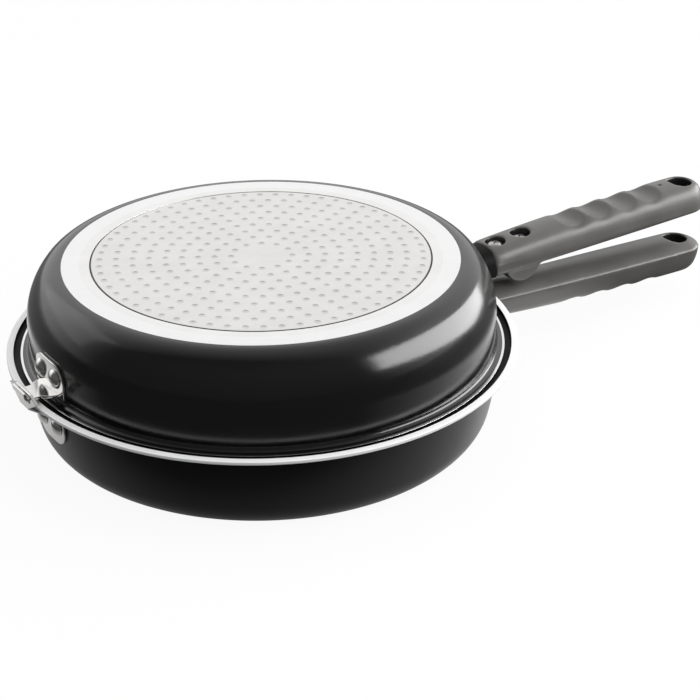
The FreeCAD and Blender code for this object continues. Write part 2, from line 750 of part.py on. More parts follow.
def upper_hinge_bracket():
    body = new_body("UpperHingeBracket")
    foot = (-1, "upper", "tongue_bottom", "upper_hinge_plate_top", "hinge_sheet", "upper_hinge_plate_angle")
    wall_foot(body, *foot)
    spots = foot_spots(-1, "upper", ["upper_hinge_plate_top"], "hinge_sheet", "upper_hinge_plate_angle")
    round_edges(body, spots, "upper_hinge_plate_corner")
    tongue = new_sketch(body, "Tongue", "XY_Plane", offset="tongue_bottom")
    root = "0 - upper_wall_radius - seat_clearance - arm_inset"
    corners = [
        (root, "tongue_half_width"), ("0 - tongue_reach", "hook_half_width"),
        ("0 - bar_offset", "hook_half_width"), ("0 - bar_offset", "0 - hook_half_width"),
        ("0 - tongue_reach", "0 - hook_half_width"), (root, "0 - tongue_half_width")]
    sweep = {"radius": "tongue_sweep", "side": 1}
    outline(tongue, corners, {0: sweep, 4: sweep})
    pad(body, tongue, "hinge_sheet")
    hook = new_sketch(body, "Hook", "XZ_Plane", turn=180)
    inner = "bar_offset + hook_inner"
    outer = inner + " + hinge_sheet"
    centre = (number("bar_offset"), number("bar_height"))
    corners = [
        ("bar_offset", "bar_height - hook_inner"), ("bar_offset", "tongue_bottom"), (outer, "bar_height"),
        (outer, "bar_height + hook_lip"), (inner, "bar_height + hook_lip"), (inner, "bar_height")]
    outline(hook, corners, {1: {"centre": centre, "centre_x": "bar_offset"},
                            5: {"centre": centre, "centre_x": "bar_offset"}})
    pad(body, hook, "hook_half_width + hook_half_width", middle=True)
    rivet_holes(body, "RivetHole", -1, "hinge_rivet_offset", "upper", "upper_hinge_rivet_height")
    return keep(body, "upper_hinge_bracket")


# Handle parts, drawn once in the local frame and placed for each half

def place_handle_part(thing, half):
    """Upper parts rise from the middle height; lower parts are turned over about the handle's line."""
    turn = 0 if half == "upper" else 180
    thing.Placement = Placement(Vector(0, 0, number("mid_height")), Rotation(Vector(1, 0, 0), turn))
    bind(thing, "Placement.Base.z", "mid_height")


def handle_bracket(half):
    body = new_body(half.title() + "HandleBracket")
    width = half + "_foot_angle"
    wall_foot(body, 1, half, "foot_bottom", "foot_top", "foot_thickness", width, flipped=True)
    spots = foot_spots(1, half, ["foot_bottom", "foot_top"], "foot_thickness", width, flipped=True)
    round_edges(body, spots, "foot_corner")
    tang = new_sketch(body, "Tang", "XY_Plane", offset="tang_bottom")
    root = half + "_wall_radius + seat_clearance + tang_inset"
    box_outline(tang, root, "tang_end", "0 - tang_half_width", "tang_half_width")
    pad(body, tang, "tang_thickness")
    holes = new_sketch(body, "ScrewHoles", "XY_Plane", offset="tang_bottom - overrun")
    for place in ("front_screw_place", "rear_screw_place"):
        circle(holes, place, "0", "screw_shank + seat_clearance")
    pocket(body, holes, "overrun + overrun + tang_thickness", backward=True)
    rivet_holes(body, "RivetHole", 1, "foot_rivet_offset", half, "foot_rivet_height", flipped=True)
    place_handle_part(body, half)
    return keep(body, half + "_handle_bracket")


def section_points(half_width, edge, rise, shrink=0):
    """Centres and joins of the handle section's side, corner and top arcs, on its +x side."""
    wide = number(half_width) - shrink
    base = number(edge) + shrink
    side = number("side_curve") - shrink
    corner = number("corner_curve") - shrink
    crest = number("top_curve") - shrink
    side_centre = Vector(wide - side, base, 0)
    crest_centre = Vector(0, base + number(rise) - 2 * shrink - crest, 0)
    corner_centre = meet(side_centre, side - corner, crest_centre, crest - corner)
    low = side_centre + (corner_centre - side_centre).normalize() * side
    high = crest_centre + (corner_centre - crest_centre).normalize() * crest
    return [(point.x, point.y) for point in (side_centre, corner_centre, crest_centre, low, high)]


def crown_centre(half_width, edge):
    """Centre of the crowned inner face's arc."""
    drop = number("crown")
    return 0, number(edge) - drop + (number(half_width) ** 2 + drop ** 2) / (2 * drop)


def d_section(sketch, half_width, edge, rise, crowned=False, inset=None):
    """Handle section: upright at the side edges, round corners, shallow top, flat or crowned
    inner face. An inset one runs inside the full one by a sheet's thickness."""
    side_centre, corner_centre, crest_centre, low, high = section_points(
        half_width, edge, rise, number(inset) if inset else 0)
    take = " - " + inset if inset else ""
    give = " + " + inset if inset else ""
    mirror = lambda point: (-point[0], point[1])
    corners = [
        ("0 - " + half_width + give, edge + give), (half_width + take, edge + give), low, high,
        mirror(high), mirror(low)]
    arcs = {
        1: {"centre": side_centre, "centre_y": edge + give, "radius": "side_curve" + take},
        2: {"centre": corner_centre, "radius": "corner_curve" + take},
        3: {"centre": crest_centre, "centre_x": "0", "radius": "top_curve" + take,
            "centre_y": edge + " + " + rise + " - top_curve"},
        4: {"centre": mirror(corner_centre), "radius": "corner_curve" + take},
        5: {"centre": mirror(side_centre), "centre_y": edge + give, "radius": "side_curve" + take}}
    if crowned:
        arcs[0] = {"centre": crown_centre(half_width, edge)}
    outline(sketch, corners, arcs, smooth=(2, 3, 4, 5))
    if crowned:
        lowest = edge + " - crown"
        index = sketch.addGeometry(Part.Point(Vector(0, number(lowest), 0)), False)
        sketch.setConstruction(index, True)
        fix(sketch, index, 1, "X", "0")
        fix(sketch, index, 1, "Y", lowest)
        sketch.addConstraint(Sketcher.Constraint("PointOnObject", index, 1, 0))
    return sketch


def meet(first, first_reach, second, second_reach):
    """Point at the given distances from two centres, on their +x side."""
    gap = second - first
    along = (first_reach ** 2 - second_reach ** 2 + gap.Length ** 2) / (2 * gap.Length)
    across = math.sqrt(first_reach ** 2 - along ** 2)
    line = Vector(gap.x, gap.y, 0).normalize()
    choices = [first + line * along + Vector(-line.y, line.x, 0) * across * side for side in (1, -1)]
    return max(choices, key=lambda point: point.x)


def flame_guard(half):
    """Sleeve around the tang with a slotted end wall where it meets the handle."""
    body = new_body(half.title() + "FlameGuard")
    outer = new_sketch(body, "Outside", "YZ_Plane", offset="guard_start")
    d_section(outer, "guard_half_width", "guard_bottom", "guard_rise")
    pad(body, outer, "handle_root - guard_gap - guard_start")
    inner = new_sketch(body, "Inside", "YZ_Plane", offset="guard_start")
    d_section(inner, "guard_half_width", "guard_bottom", "guard_rise", inset="guard_sheet")
    pocket(body, inner, "handle_root - guard_gap - guard_sheet - guard_start", backward=True)
    slot = new_sketch(body, "TangSlot", "YZ_Plane", offset="guard_start")
    box_outline(slot, "0 - tang_half_width - rivet_clearance", "tang_half_width + rivet_clearance",
                "tang_bottom - rivet_clearance", "tang_bottom + tang_thickness + rivet_clearance")
    pocket(body, slot, "handle_root + overrun - guard_start", backward=True)
    place_handle_part(body, half)
    return keep(body, half + "_flame_guard")


def handle(half):
    body = new_body(half.title() + "Handle")
    sections = []
    for place in ("root", "swell", "end"):
        station = "handle_" + place
        sketch = new_sketch(body, place.title() + "Section", "YZ_Plane", offset=station)
        d_section(sketch, place + "_half_width", place + "_edge_height", place + "_rise", crowned=True)
        sections.append(sketch)
    loft = body.newObject("PartDesign::AdditiveLoft", "Grip")
    loft.Profile = sections[0]
    loft.Sections = sections[1:]
    doc.recompute()
    handle_end(body)
    if half == "upper":
        handle_lug(body)
    finger_scallops(body)
    handle_cuts(body)
    place_handle_part(body, half)
    return keep(body, half + "_handle")


def handle_end(body):
    """Round end: half of the end section swung about the hanging hole's axis."""
    side_centre, corner_centre, crest_centre, low, high = section_points(
        "end_half_width", "end_edge_height", "end_rise")
    sketch = new_sketch(body, "EndHalfSection", "YZ_Plane", offset="handle_end")
    corners = [
        ("0", "end_edge_height - crown"), ("end_half_width", "end_edge_height"), low, high,
        ("0", "end_edge_height + end_rise")]
    arcs = {
        0: {"centre": crown_centre("end_half_width", "end_edge_height"), "centre_x": "0"},
        1: {"centre": side_centre, "centre_y": "end_edge_height", "radius": "side_curve"},
        2: {"centre": corner_centre, "radius": "corner_curve"},
        3: {"centre": crest_centre, "centre_x": "0", "radius": "top_curve"}}
    outline(sketch, corners, arcs, smooth=(2, 3))
    revolve(body, sketch, angle="half", backward=True)
    if body.Shape.BoundBox.XMax < number("handle_end + hang_hole_radius"):
        raise ValueError("the handle's round end points the wrong way")


def handle_lug(body):
    """Half-moon lug that hangs from the inner face near the root."""
    sketch = new_sketch(body, "LugProfile", "XZ_Plane")
    left = "lug_centre - lug_half_length"
    right = "lug_centre + lug_half_length"
    above = "lug_level + crown"
    corners = [(left, "lug_level"), (right, "lug_level"), (right, above), (left, above)]
    reach = math.sqrt(number("lug_radius") ** 2 - number("lug_half_length") ** 2)
    centre = (number("lug_centre"), number("lug_level") + reach)
    outline(sketch, corners, {0: {"centre": centre, "radius": "lug_radius"}})
    pad(body, sketch, "lug_half_width + lug_half_width", middle=True)


def surface_height(place):
    """Height of the outer surface on the middle plane, between the swell and the end."""
    start = number("handle_swell")
    share = (place - start) / (number("handle_end") - start)
    low = number("swell_edge_height + swell_rise")
    return low + share * (number("end_edge_height + end_rise") - low)


def finger_scallops(body):
    """Shallow round-bottomed dips across the outer surface, which slopes up towards the end."""
    for i in range(SCALLOP_COUNT):
        sketch = new_sketch(body, "Scallop%d" % i, "XZ_Plane")
        place = "scallop_last" + " - scallop_pitch" * i
        level = surface_height(number(place)) + number("scallop_radius - scallop_depth")
        centre = Vector(number(place), level, 0)
        index = sketch.addGeometry(Part.Circle(centre, Vector(0, 0, 1), number("scallop_radius")), False)
        fix(sketch, index, 3, "X", place)
        held = sketch.addConstraint(Sketcher.Constraint("DistanceY", -1, 1, index, 3, level))
        slope = cells("end_edge_height + end_rise - swell_edge_height - swell_rise")
        share = "(%s) / (%s)" % (cells(place + " - handle_swell"), cells("handle_end - handle_swell"))
        rest = cells("swell_edge_height + swell_rise + scallop_radius - scallop_depth")
        sketch.setExpression("Constraints[%d]" % held, "%s + (%s) * %s" % (rest, slope, share))
        size = sketch.addConstraint(Sketcher.Constraint("Radius", index, number("scallop_radius")))
        bind(sketch, "Constraints[%d]" % size, "scallop_radius")
        pocket(body, sketch, "end_half_width + end_half_width + overrun", middle=True)


def handle_cuts(body):
    above = "end_edge_height + end_rise + overrun"
    screws = ["front_screw_place", "rear_screw_place"]
    drops = [("HangHole", ["handle_end"], "hang_hole_radius", above + " + overrun"),
             ("Recesses", screws, "recess_radius", above + " - recess_floor"),
             ("ScrewHoles", screws, "screw_shank + screw_hole_clearance", above + " - tang_bottom"),
             ("Gate", ["gate_place"], "gate_radius", "overrun + gate_depth")]
    for name, places, radius, depth in drops:
        sketch = new_sketch(body, name, "XY_Plane", offset=above)
        for place in places:
            circle(sketch, place, "0", radius)
        pocket(body, sketch, depth)
    socket = new_sketch(body, "Socket", "YZ_Plane", offset="handle_root - overrun")
    box_outline(socket, "0 - tang_half_width - socket_clearance", "tang_half_width + socket_clearance",
                "tang_bottom - socket_clearance", "tang_bottom + tang_thickness + socket_clearance")
    pocket(body, socket, "overrun + tang_end + socket_end_gap - handle_root", backward=True)


def washers(half):
    pair = []
    for end in ("front", "rear"):
        body = new_body("%s%sWasher" % (half.title(), end.title()))
        ring = new_sketch(body, "Ring", "XY_Plane", offset="recess_floor")
        circle(ring, end + "_screw_place", "0", "washer_radius")
        circle(ring, end + "_screw_place", "0", "washer_bore")
        pad(body, ring, "washer_thickness")
        place_handle_part(body, half)
        pair.append(body)
    group = doc.addObject("Part::Compound", half.title() + "ScrewWashers")
    group.Links = pair
    doc.recompute()
    return keep(group, half + "_screw_washers")


def screw(half, end):
    """Domed cross-head screw from the washer down through the tang."""
    place = end + "_screw_place"
    body = new_body(half.title() + end.title() + "Screw")
    sketch = new_sketch(body, "ScrewProfile", "XZ_Plane")
    seat = "recess_floor + washer_thickness"
    tip = "tang_bottom - screw_tip_stop"
    rise = number("screw_head_height")
    reach = number("screw_head_radius")
    dome = (reach ** 2 + rise ** 2) / (2 * rise)
    corners = [
        ("0", tip), ("screw_shank", tip), ("screw_shank", seat), ("screw_head_radius", seat),
        ("0", seat + " + screw_head_height")]
    outline(sketch, corners, {3: {"centre": (0.0, number(seat) + rise - dome), "centre_x": "0"}})
    revolve(body, sketch)
    cross = new_sketch(body, "Cross", "XY_Plane", offset=seat + " + screw_head_height + overrun")
    wide, long = "cross_half_width", "cross_half_length"
    corners = [(wide, wide), (wide, long), ("0 - " + wide, long), ("0 - " + wide, wide),
               ("0 - " + long, wide), ("0 - " + long, "0 - " + wide), ("0 - " + wide, "0 - " + wide),
               ("0 - " + wide, "0 - " + long), (wide, "0 - " + long), (wide, "0 - " + wide),
               (long, "0 - " + wide), (long, wide)]
    outline(cross, corners)
    pocket(body, cross, "overrun + cross_depth")
    place_handle_part(body, half)
    bind(body, "Placement.Base.x", place)
    return keep(body, "%s_%s_screw" % (half, end))


lower_pan()
upper_pan()
base_plates()
lower_hinge_bracket()
upper_hinge_bracket()
for half in ("lower", "upper"):
    rivet_pair(half + "_hinge_rivets", -1, half, half + "_hinge_rivet_height", "hinge_rivet_offset",
               "hinge_sheet", "hinge")
    rivet_pair(half + "_handle_rivets", 1, half, half + "_foot_rivet_height", "foot_rivet_offset",
               "foot_thickness", "foot")
    handle_bracket(half)
    flame_guard(half)
    handle(half)
    for end in ("front", "rear"):
        screw(half, end)
    washers(half)
doc.recompute()

# Check every object before anything is written

for thing in doc.Objects:
    if "Invalid" in thing.State or "Error" in thing.State:
        raise ValueError("%s failed: %s" % (thing.Label, thing.State))
for node in nodes:
    if node.Shape.isNull() or not node.Shape.isValid():
        raise ValueError("%s has no valid shape" % node.Label)
    if node.isDerivedFrom("PartDesign::Body") and len(node.Shape.Solids) != 1:
        raise ValueError("%s isn't one solid" % node.Label)
for node in nodes:
    node.Shape.exportStep("parts/%s.step" % node.Label)
    box = node.Shape.BoundBox
    print("%-24s solids %d volume %9.1f  x %7.1f %7.1f  y %6.1f %6.1f  z %6.1f %6.1f" % (
        node.Label, len(node.Shape.Solids), node.Shape.Volume, box.XMin, box.XMax, box.YMin, box.YMax,
        box.ZMin, box.ZMax))
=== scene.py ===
# %% [markdown]
# # A double sided flip pan
# Two round pans close rim to rim, hinged at one side, each with its own grip. The imported solids
# give every size and place. This lesson dresses them: it makes the fine shapes that a plain solid
# lacks, such as rolled dots, domed rivets and soft moulded grips, and gives each surface its
# finish. We start by loading the solids.

# %% Load the imported pan
import math

import bmesh
import bpy
from mathutils import Matrix, Vector


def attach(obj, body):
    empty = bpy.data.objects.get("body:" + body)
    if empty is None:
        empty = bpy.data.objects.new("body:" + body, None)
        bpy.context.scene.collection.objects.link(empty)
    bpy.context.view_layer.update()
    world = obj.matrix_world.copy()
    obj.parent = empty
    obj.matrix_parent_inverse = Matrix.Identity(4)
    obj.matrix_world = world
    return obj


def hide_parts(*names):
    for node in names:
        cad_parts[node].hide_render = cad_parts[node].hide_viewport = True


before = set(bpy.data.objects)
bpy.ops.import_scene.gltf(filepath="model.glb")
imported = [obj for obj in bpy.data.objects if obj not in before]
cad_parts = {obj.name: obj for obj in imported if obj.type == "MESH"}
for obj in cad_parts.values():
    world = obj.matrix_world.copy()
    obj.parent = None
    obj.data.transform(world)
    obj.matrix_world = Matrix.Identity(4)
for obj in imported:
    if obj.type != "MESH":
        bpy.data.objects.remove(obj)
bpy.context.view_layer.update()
MM = 0.001
FULL_TURN = 2 * math.pi
HALVES = ("lower", "upper")

# %% [markdown]
# ## The camera
# A product picture is taken with a longish lens, a little above the pan. We could guess the place
# by eye, but the pan's circles give it away: the squash of the rim gives the height, and how much
# the far side shrinks gives the distance. The camera is set from these few measured numbers.

# %% Set the camera where the picture was taken
VIEW_TURN = math.radians(-33.0)
VIEW_DIP = 0.46977
VIEW_ROLL = -0.0037
FOCAL_SHARE = 2.66648
SENSOR_WIDTH = 36
RIM_LEVEL = 46.6
PAN_FROM_CAMERA = Vector((-44.218, 8.172, 955.715)) * MM

across = Vector((1, 0, 0))
upward = Vector((0, math.sin(VIEW_DIP), math.cos(VIEW_DIP)))
ahead = Vector((0, math.cos(VIEW_DIP), -math.sin(VIEW_DIP)))
right = math.cos(VIEW_ROLL) * across + math.sin(VIEW_ROLL) * upward
top = -math.sin(VIEW_ROLL) * across + math.cos(VIEW_ROLL) * upward
spin = Matrix.Rotation(VIEW_TURN, 4, "Z")
place = -(PAN_FROM_CAMERA.x * right + PAN_FROM_CAMERA.y * top + PAN_FROM_CAMERA.z * ahead)
facing = Matrix((right, top, -ahead)).transposed().to_4x4()

lens = bpy.data.cameras.new("picture_lens")
lens.sensor_width = SENSOR_WIDTH
lens.lens = FOCAL_SHARE * SENSOR_WIDTH
lens.clip_start = 0.01
camera = bpy.data.objects.new("picture_camera", lens)
camera.matrix_world = (Matrix.Translation((0, 0, RIM_LEVEL * MM)) @ spin
                       @ Matrix.Translation(place) @ facing)
bpy.context.scene.collection.objects.link(camera)
bpy.context.scene.camera = camera
bpy.context.scene.view_settings.view_transform = "Standard"
print("camera at", [round(value, 3) for value in camera.matrix_world.translation])
print("lens", round(lens.lens, 1))

# %% [markdown]
# ## Building a finish from nodes
# Every finish is a Principled shader with patterns fed into its colour, roughness and bump. Wiring
# nodes by hand is long, so one helper adds a node: an input that is given another node's output is
# linked to it, and an input that is given a number keeps the number.

# %% Node helpers
def step(tree, kind, inputs, **settings):
    """Adds one node, sets its settings, and links or sets its inputs. Returns its outputs."""
    made = tree.nodes.new("ShaderNode" + kind)
    for key, value in settings.items():
        setattr(made, key, value)
    for key, value in inputs.items():
        if isinstance(value, bpy.types.NodeSocket):
            tree.links.new(value, made.inputs[key])
        else:
            made.inputs[key].default_value = value
    return made.outputs


def calc(tree, operation, *values):
    return step(tree, "Math", dict(enumerate(values)), operation=operation)[0]


def remap(tree, value, low, high, start=0.0, end=1.0):
    """Stretches the part of value between start and end so that it runs from low to high."""
    return step(tree, "MapRange", {
        "Value": value, "From Min": start, "From Max": end, "To Min": low, "To Max": high})["Result"]


def blend(tree, share, first, second):
    """A number that goes from first to second as share goes from 0 to 1."""
    return step(tree, "Mix", {0: share, 2: first, 3: second})[0]


def blend_colours(tree, share, first, second):
    """The same for colours, each given as a plain colour or as another node's output."""
    ends = [end if isinstance(end, bpy.types.NodeSocket) else (*end, 1) for end in (first, second)]
    return step(tree, "Mix", {0: share, 6: ends[0], 7: ends[1]}, data_type="RGBA")[2]


def new_finish(name, colour, metal_share, rough, **sockets):
    """A finish with one plain Principled shader, ready for patterns."""
    made = bpy.data.materials.new(name)
    made.use_nodes = True
    shader = made.node_tree.nodes["Principled BSDF"]
    shader.inputs["Base Color"].default_value = (*colour, 1)
    shader.inputs["Metallic"].default_value = metal_share
    shader.inputs["Roughness"].default_value = rough
    for key, value in sockets.items():
        shader.inputs[key.replace("_", " ")].default_value = value
    made.diffuse_color = (*colour, 1)
    return made, made.node_tree, shader


print("node helpers ready")

# %% [markdown]
# ## Patterns
# Noise gives most of the patterns here: soft patches, long scratches where it is stretched one way,
# and circular tool lines where it depends only on the distance from the pan's upright axis. Most of
# a noise pattern's values lie near the middle, so that part is what gets stretched.

# %% Pattern helpers
NOISE_SPAN = (0.3, 0.7)
NOISE_CORE = (0.35, 0.65)


def coordinates(tree):
    return step(tree, "TexCoord", {})["Object"]


def grain(tree, where, size, detail=2.0, stretch=(1, 1, 1)):
    """Soft random patches about size metres across."""
    scaled = step(tree, "Mapping", {"Vector": where, "Scale": stretch})["Vector"]
    return step(tree, "TexNoise", {"Vector": scaled, "Scale": 1 / size, "Detail": detail})["Fac"]


def flattened(tree, where):
    """The same place, moved straight down to the ground."""
    return step(tree, "VectorMath", {0: where, 1: (1, 1, 0)}, operation="MULTIPLY")["Vector"]


def tool_lines(tree, where):
    """Uneven circular lines half a millimetre apart, as a turning tool leaves them."""
    reach = step(tree, "VectorMath", {0: flattened(tree, where)}, operation="LENGTH")["Value"]
    along = calc(tree, "MULTIPLY", reach, 1 / (0.5 * MM))
    return step(tree, "TexNoise", {"W": along, "Scale": 1.0, "Detail": 3.0}, noise_dimensions="1D")["Fac"]


def scratched(tree, where):
    """Long thin scratches in two directions over a fine grain."""
    along = grain(tree, where, 0.7 * MM, 2.0, (0.05, 1, 1))
    cross = grain(tree, where, 0.8 * MM, 2.0, (1, 0.06, 1))
    fine = grain(tree, where, 0.4 * MM, 1.0)
    return calc(tree, "ADD", calc(tree, "ADD", along, cross), fine)


def brushed(tree, where):
    return grain(tree, where, 0.4 * MM, 2.0, (0.08, 1, 1))


def bump(tree, shader, height, depth):
    normal = step(tree, "Bump", {"Height": height, "Distance": depth, "Strength": 1.0})["Normal"]
    tree.links.new(normal, shader.inputs["Normal"])


print("pattern helpers ready")

# %% [markdown]
# ## Enamel, satin black and the coating inside
# The upper pan is sprayed with a glossy black enamel, whose surface is never quite flat: a slight
# ripple called orange peel bends the reflections. The lower pan is satin. Inside, the coating
# carries a fine fleck. The brackets and the flame guards are painted a duller black. All of these
# are so dark that the gloss carries the look, not the colour.

# %% Dark coatings
FLECK_SIZE = 0.6 * MM
FLECK_SPAN = (0.58, 0.72)
SMEAR_SIZE = 30 * MM


def coating(name, colour, fleck, rough, ripple_depth, ripple_size, gloss):
    """A dark coat with sparse flecks, uneven smears of gloss and a fine ripple, sizes in millimetres."""
    made, tree, shader = new_finish(name, colour, 0.0, rough, Specular_IOR_Level=gloss)
    where = coordinates(tree)
    flecks = remap(tree, grain(tree, where, FLECK_SIZE, 3.0), 0.0, 1.0, *FLECK_SPAN)
    tree.links.new(blend_colours(tree, flecks, colour, fleck), shader.inputs["Base Color"])
    smears = grain(tree, where, SMEAR_SIZE, 4.0)
    tree.links.new(remap(tree, smears, rough * 0.85, rough * 1.2, *NOISE_SPAN), shader.inputs["Roughness"])
    bump(tree, shader, grain(tree, where, ripple_size * MM), ripple_depth * MM)
    return made


enamel = coating("glossy_enamel", (0.003, 0.0028, 0.0028), (0.006, 0.0055, 0.0055),
                 0.17, 0.02, 1.6, 0.88)
satin_black = coating("satin_black", (0.004, 0.004, 0.0043), (0.008, 0.008, 0.0085),
                      0.3, 0.03, 0.9, 0.48)
nonstick = coating("fleck_coating", (0.014, 0.014, 0.0145), (0.09, 0.09, 0.09),
                   0.36, 0.04, 0.8, 0.4)
bracket_black = coating("bracket_black", (0.008, 0.008, 0.008), (0.014, 0.014, 0.014),
                        0.4, 0.04, 0.7, 0.3)
guard_black = coating("guard_black", (0.004, 0.004, 0.004), (0.006, 0.006, 0.006),
                      0.5, 0.04, 0.7, 0.1)
print("coatings", len(bpy.data.materials))

# %% [markdown]
# ## Bare metal
# The lip and the ring on the base are turned on a lathe after coating, so bare aluminium shows,
# with circular tool lines. The lip's cut is frosted: it scatters light almost as paint does, so
# it gets only a small share of metal. The base plate is pressed steel with a cloudy, faintly
# scratched face. The hinge, the rivets and the washers are polished stainless steel.

# %% Metals
CLOUD_SIZE = 12 * MM


def metal(name, colour, rough, spread, relief, depth, metal_share=1.0):
    """Bare metal. relief(tree, where) gives the pattern of its surface, and depth how deep it is."""
    made, tree, shader = new_finish(name, colour, metal_share, rough)
    where = coordinates(tree)
    clouds = grain(tree, where, CLOUD_SIZE, 5.0)
    shade = tuple(value * (1 - spread) for value in colour)
    share = remap(tree, clouds, 0.0, 1.0, *NOISE_CORE)
    tree.links.new(blend_colours(tree, share, shade, colour), shader.inputs["Base Color"])
    tree.links.new(remap(tree, clouds, rough * 0.9, rough * 1.12, *NOISE_SPAN), shader.inputs["Roughness"])
    bump(tree, shader, relief(tree, where), depth * MM)
    return made


bare_aluminium = metal("turned_lip", (0.86, 0.86, 0.865), 0.42, 0.03, tool_lines, 0.01, 0.15)
base_ring = metal("turned_base_ring", (0.93, 0.93, 0.935), 0.4, 0.03, tool_lines, 0.01)
turned_band = metal("turned_band", (0.90, 0.895, 0.885), 0.34, 0.05, tool_lines, 0.03)
rim_trim = metal("rim_trim", (0.86, 0.86, 0.86), 0.18, 0.05, tool_lines, 0.01)
plate_steel = metal("plate_steel", (0.83, 0.82, 0.805), 0.42, 0.06, scratched, 0.03)
# The dots' steel is a little darker than the plate's: painted shade in the dimples.
dot_steel_shaded = metal("pressed_dots_painted_shade", (0.75, 0.74, 0.725), 0.42, 0.1, scratched, 0.03)
hinge_steel = metal("hinge_stainless", (0.82, 0.81, 0.795), 0.13, 0.12, brushed, 0.01)
rivet_steel = metal("rivet_polish", (0.84, 0.83, 0.82), 0.14, 0.08, brushed, 0.005)
washer_steel = metal("washer_bright", (0.86, 0.85, 0.84), 0.18, 0.08, brushed, 0.005)
screw_steel = metal("screw_steel", (0.62, 0.61, 0.6), 0.22, 0.2, brushed, 0.01)
print("coatings and metals", len(bpy.data.materials))

# %% [markdown]
# ## The moulded grips
# The grips are moulded in a bronze grey satin plastic with a very fine grain. Little light gets
# down into their narrow holes, so the walls of the holes are darkened: the hanging hole all the way
# through, and the screw recesses and the small hole only in the grips' outer faces.

# %% Grip plastic
GRIP_COLOUR = (0.092, 0.088, 0.0815)
GRIP_SHADE = (0.076, 0.073, 0.0675)
HOLE_SHADE = (0.006, 0.006, 0.006)
GRIP_GLOSS = (0.33, 0.4)
GRIP_MIDDLE = 41.75
SCREW_PLACES = {"front": 147.5, "rear": 164.5}
RECESS_RADIUS = 5.6
HANG_HOLE = (280.7, 7.0)
SMALL_HOLE = (265.7, 1.3)
OUTER_FACES = (14, 14.5)
HOLE_EDGE = 0.25


def inside_hole(tree, where, x, radius):
    """1 inside an upright round hole at x on the middle plane, fading out over its edge."""
    axis = (x * MM, 0, 0)
    gap = step(tree, "VectorMath", {0: flattened(tree, where), 1: axis}, operation="DISTANCE")["Value"]
    return remap(tree, gap, 1.0, 0.0, radius * MM, (radius + HOLE_EDGE) * MM)


def moulded_plastic():
    made, tree, shader = new_finish("bronze_grey_grip", GRIP_COLOUR, 0.0, 0.36, Specular_IOR_Level=0.8)
    where = coordinates(tree)
    patches = remap(tree, grain(tree, where, 20 * MM, 4.0), 0.0, 1.0, *NOISE_CORE)
    level = calc(tree, "ADD", step(tree, "SeparateXYZ", {0: where})[2], -GRIP_MIDDLE * MM)
    outer = remap(tree, calc(tree, "ABSOLUTE", level), 0.0, 1.0, *[height * MM for height in OUTER_FACES])
    holes = inside_hole(tree, where, *HANG_HOLE)
    shallow = [(x, RECESS_RADIUS) for x in SCREW_PLACES.values()] + [SMALL_HOLE]
    for x, radius in shallow:
        recess = calc(tree, "MULTIPLY", inside_hole(tree, where, x, radius), outer)
        holes = calc(tree, "MAXIMUM", holes, recess)
    plastic = blend_colours(tree, patches, GRIP_SHADE, GRIP_COLOUR)
    tree.links.new(blend_colours(tree, holes, plastic, HOLE_SHADE), shader.inputs["Base Color"])
    tree.links.new(remap(tree, patches, *GRIP_GLOSS), shader.inputs["Roughness"])
    bump(tree, shader, grain(tree, where, 0.4 * MM), 0.03 * MM)
    return made


grip_plastic = moulded_plastic()
print("plastic ready", grip_plastic.name)

# %% [markdown]
# ## Turning a profile
# Pans, rivets, screws and washers are round, so each is a profile turned about an axis. Blender
# has a Screw modifier for this, but making the rings ourselves lets us round every corner, choose
# a finish for each stretch of the profile, and close the shape on its axis.

# %% Profile helpers
EASE_STEPS = 5
NEARLY_HALF = 0.48


def arc(centre, radius, start, end, count):
    """Points on an arc, from the start angle to the end angle in degrees."""
    turns = [math.radians(start + (end - start) * i / count) for i in range(count + 1)]
    return [(centre[0] + radius * math.cos(t), centre[1] + radius * math.sin(t)) for t in turns]


def eased(before, corner, after, reach):
    """Rounds one corner of a profile with a small curve that starts reach before it."""
    before, corner, after = Vector(before), Vector(corner), Vector(after)
    start = corner + (before - corner).normalized() * min(reach, (before - corner).length * NEARLY_HALF)
    end = corner + (after - corner).normalized() * min(reach, (after - corner).length * NEARLY_HALF)
    points = []
    for i in range(EASE_STEPS + 1):
        t = i / EASE_STEPS
        points.append(tuple(start * (1 - t) ** 2 + corner * 2 * t * (1 - t) + end * t ** 2))
    return points


def rounded_profile(rows, closed=False):
    """rows are (r, z, reach, zone). Returns points and, for each stretch between two, its zone."""
    points, zones = [], []
    for i, (r, z, reach, zone) in enumerate(rows):
        is_end = not closed and i in (0, len(rows) - 1)
        fresh = [(r, z)]
        if reach and not is_end:
            fresh = eased(rows[i - 1][:2], (r, z), rows[(i + 1) % len(rows)][:2], reach)
        points += fresh
        zones += [zone] * len(fresh)
    return points, zones


def through(points, zone):
    """Points of a curve as rows that need no rounding."""
    return [(r, z, 0, zone) for r, z in points]


print("profile helpers ready")

# %% [markdown]
# A profile is in millimetres, and the mesh has to be in metres, so the turned shape is scaled once
# at the end. Each finished mesh then takes the place of the solids that it stands for.

# %% Mesh helpers
def on_circle(r, turn, z):
    return (r * math.cos(turn), r * math.sin(turn), z)


def ring_of(shape, r, z, count):
    """A closed ring of points about the z axis, or a single point where the radius is nothing."""
    if r < 1e-6:
        return [shape.verts.new((0, 0, z))]
    return [shape.verts.new(on_circle(r, FULL_TURN * i / count, z)) for i in range(count)]


def as_mesh(name, shape, finishes):
    mesh = bpy.data.meshes.new(name)
    shape.to_mesh(mesh)
    shape.free()
    for finish in finishes:
        mesh.materials.append(finish)
    return mesh


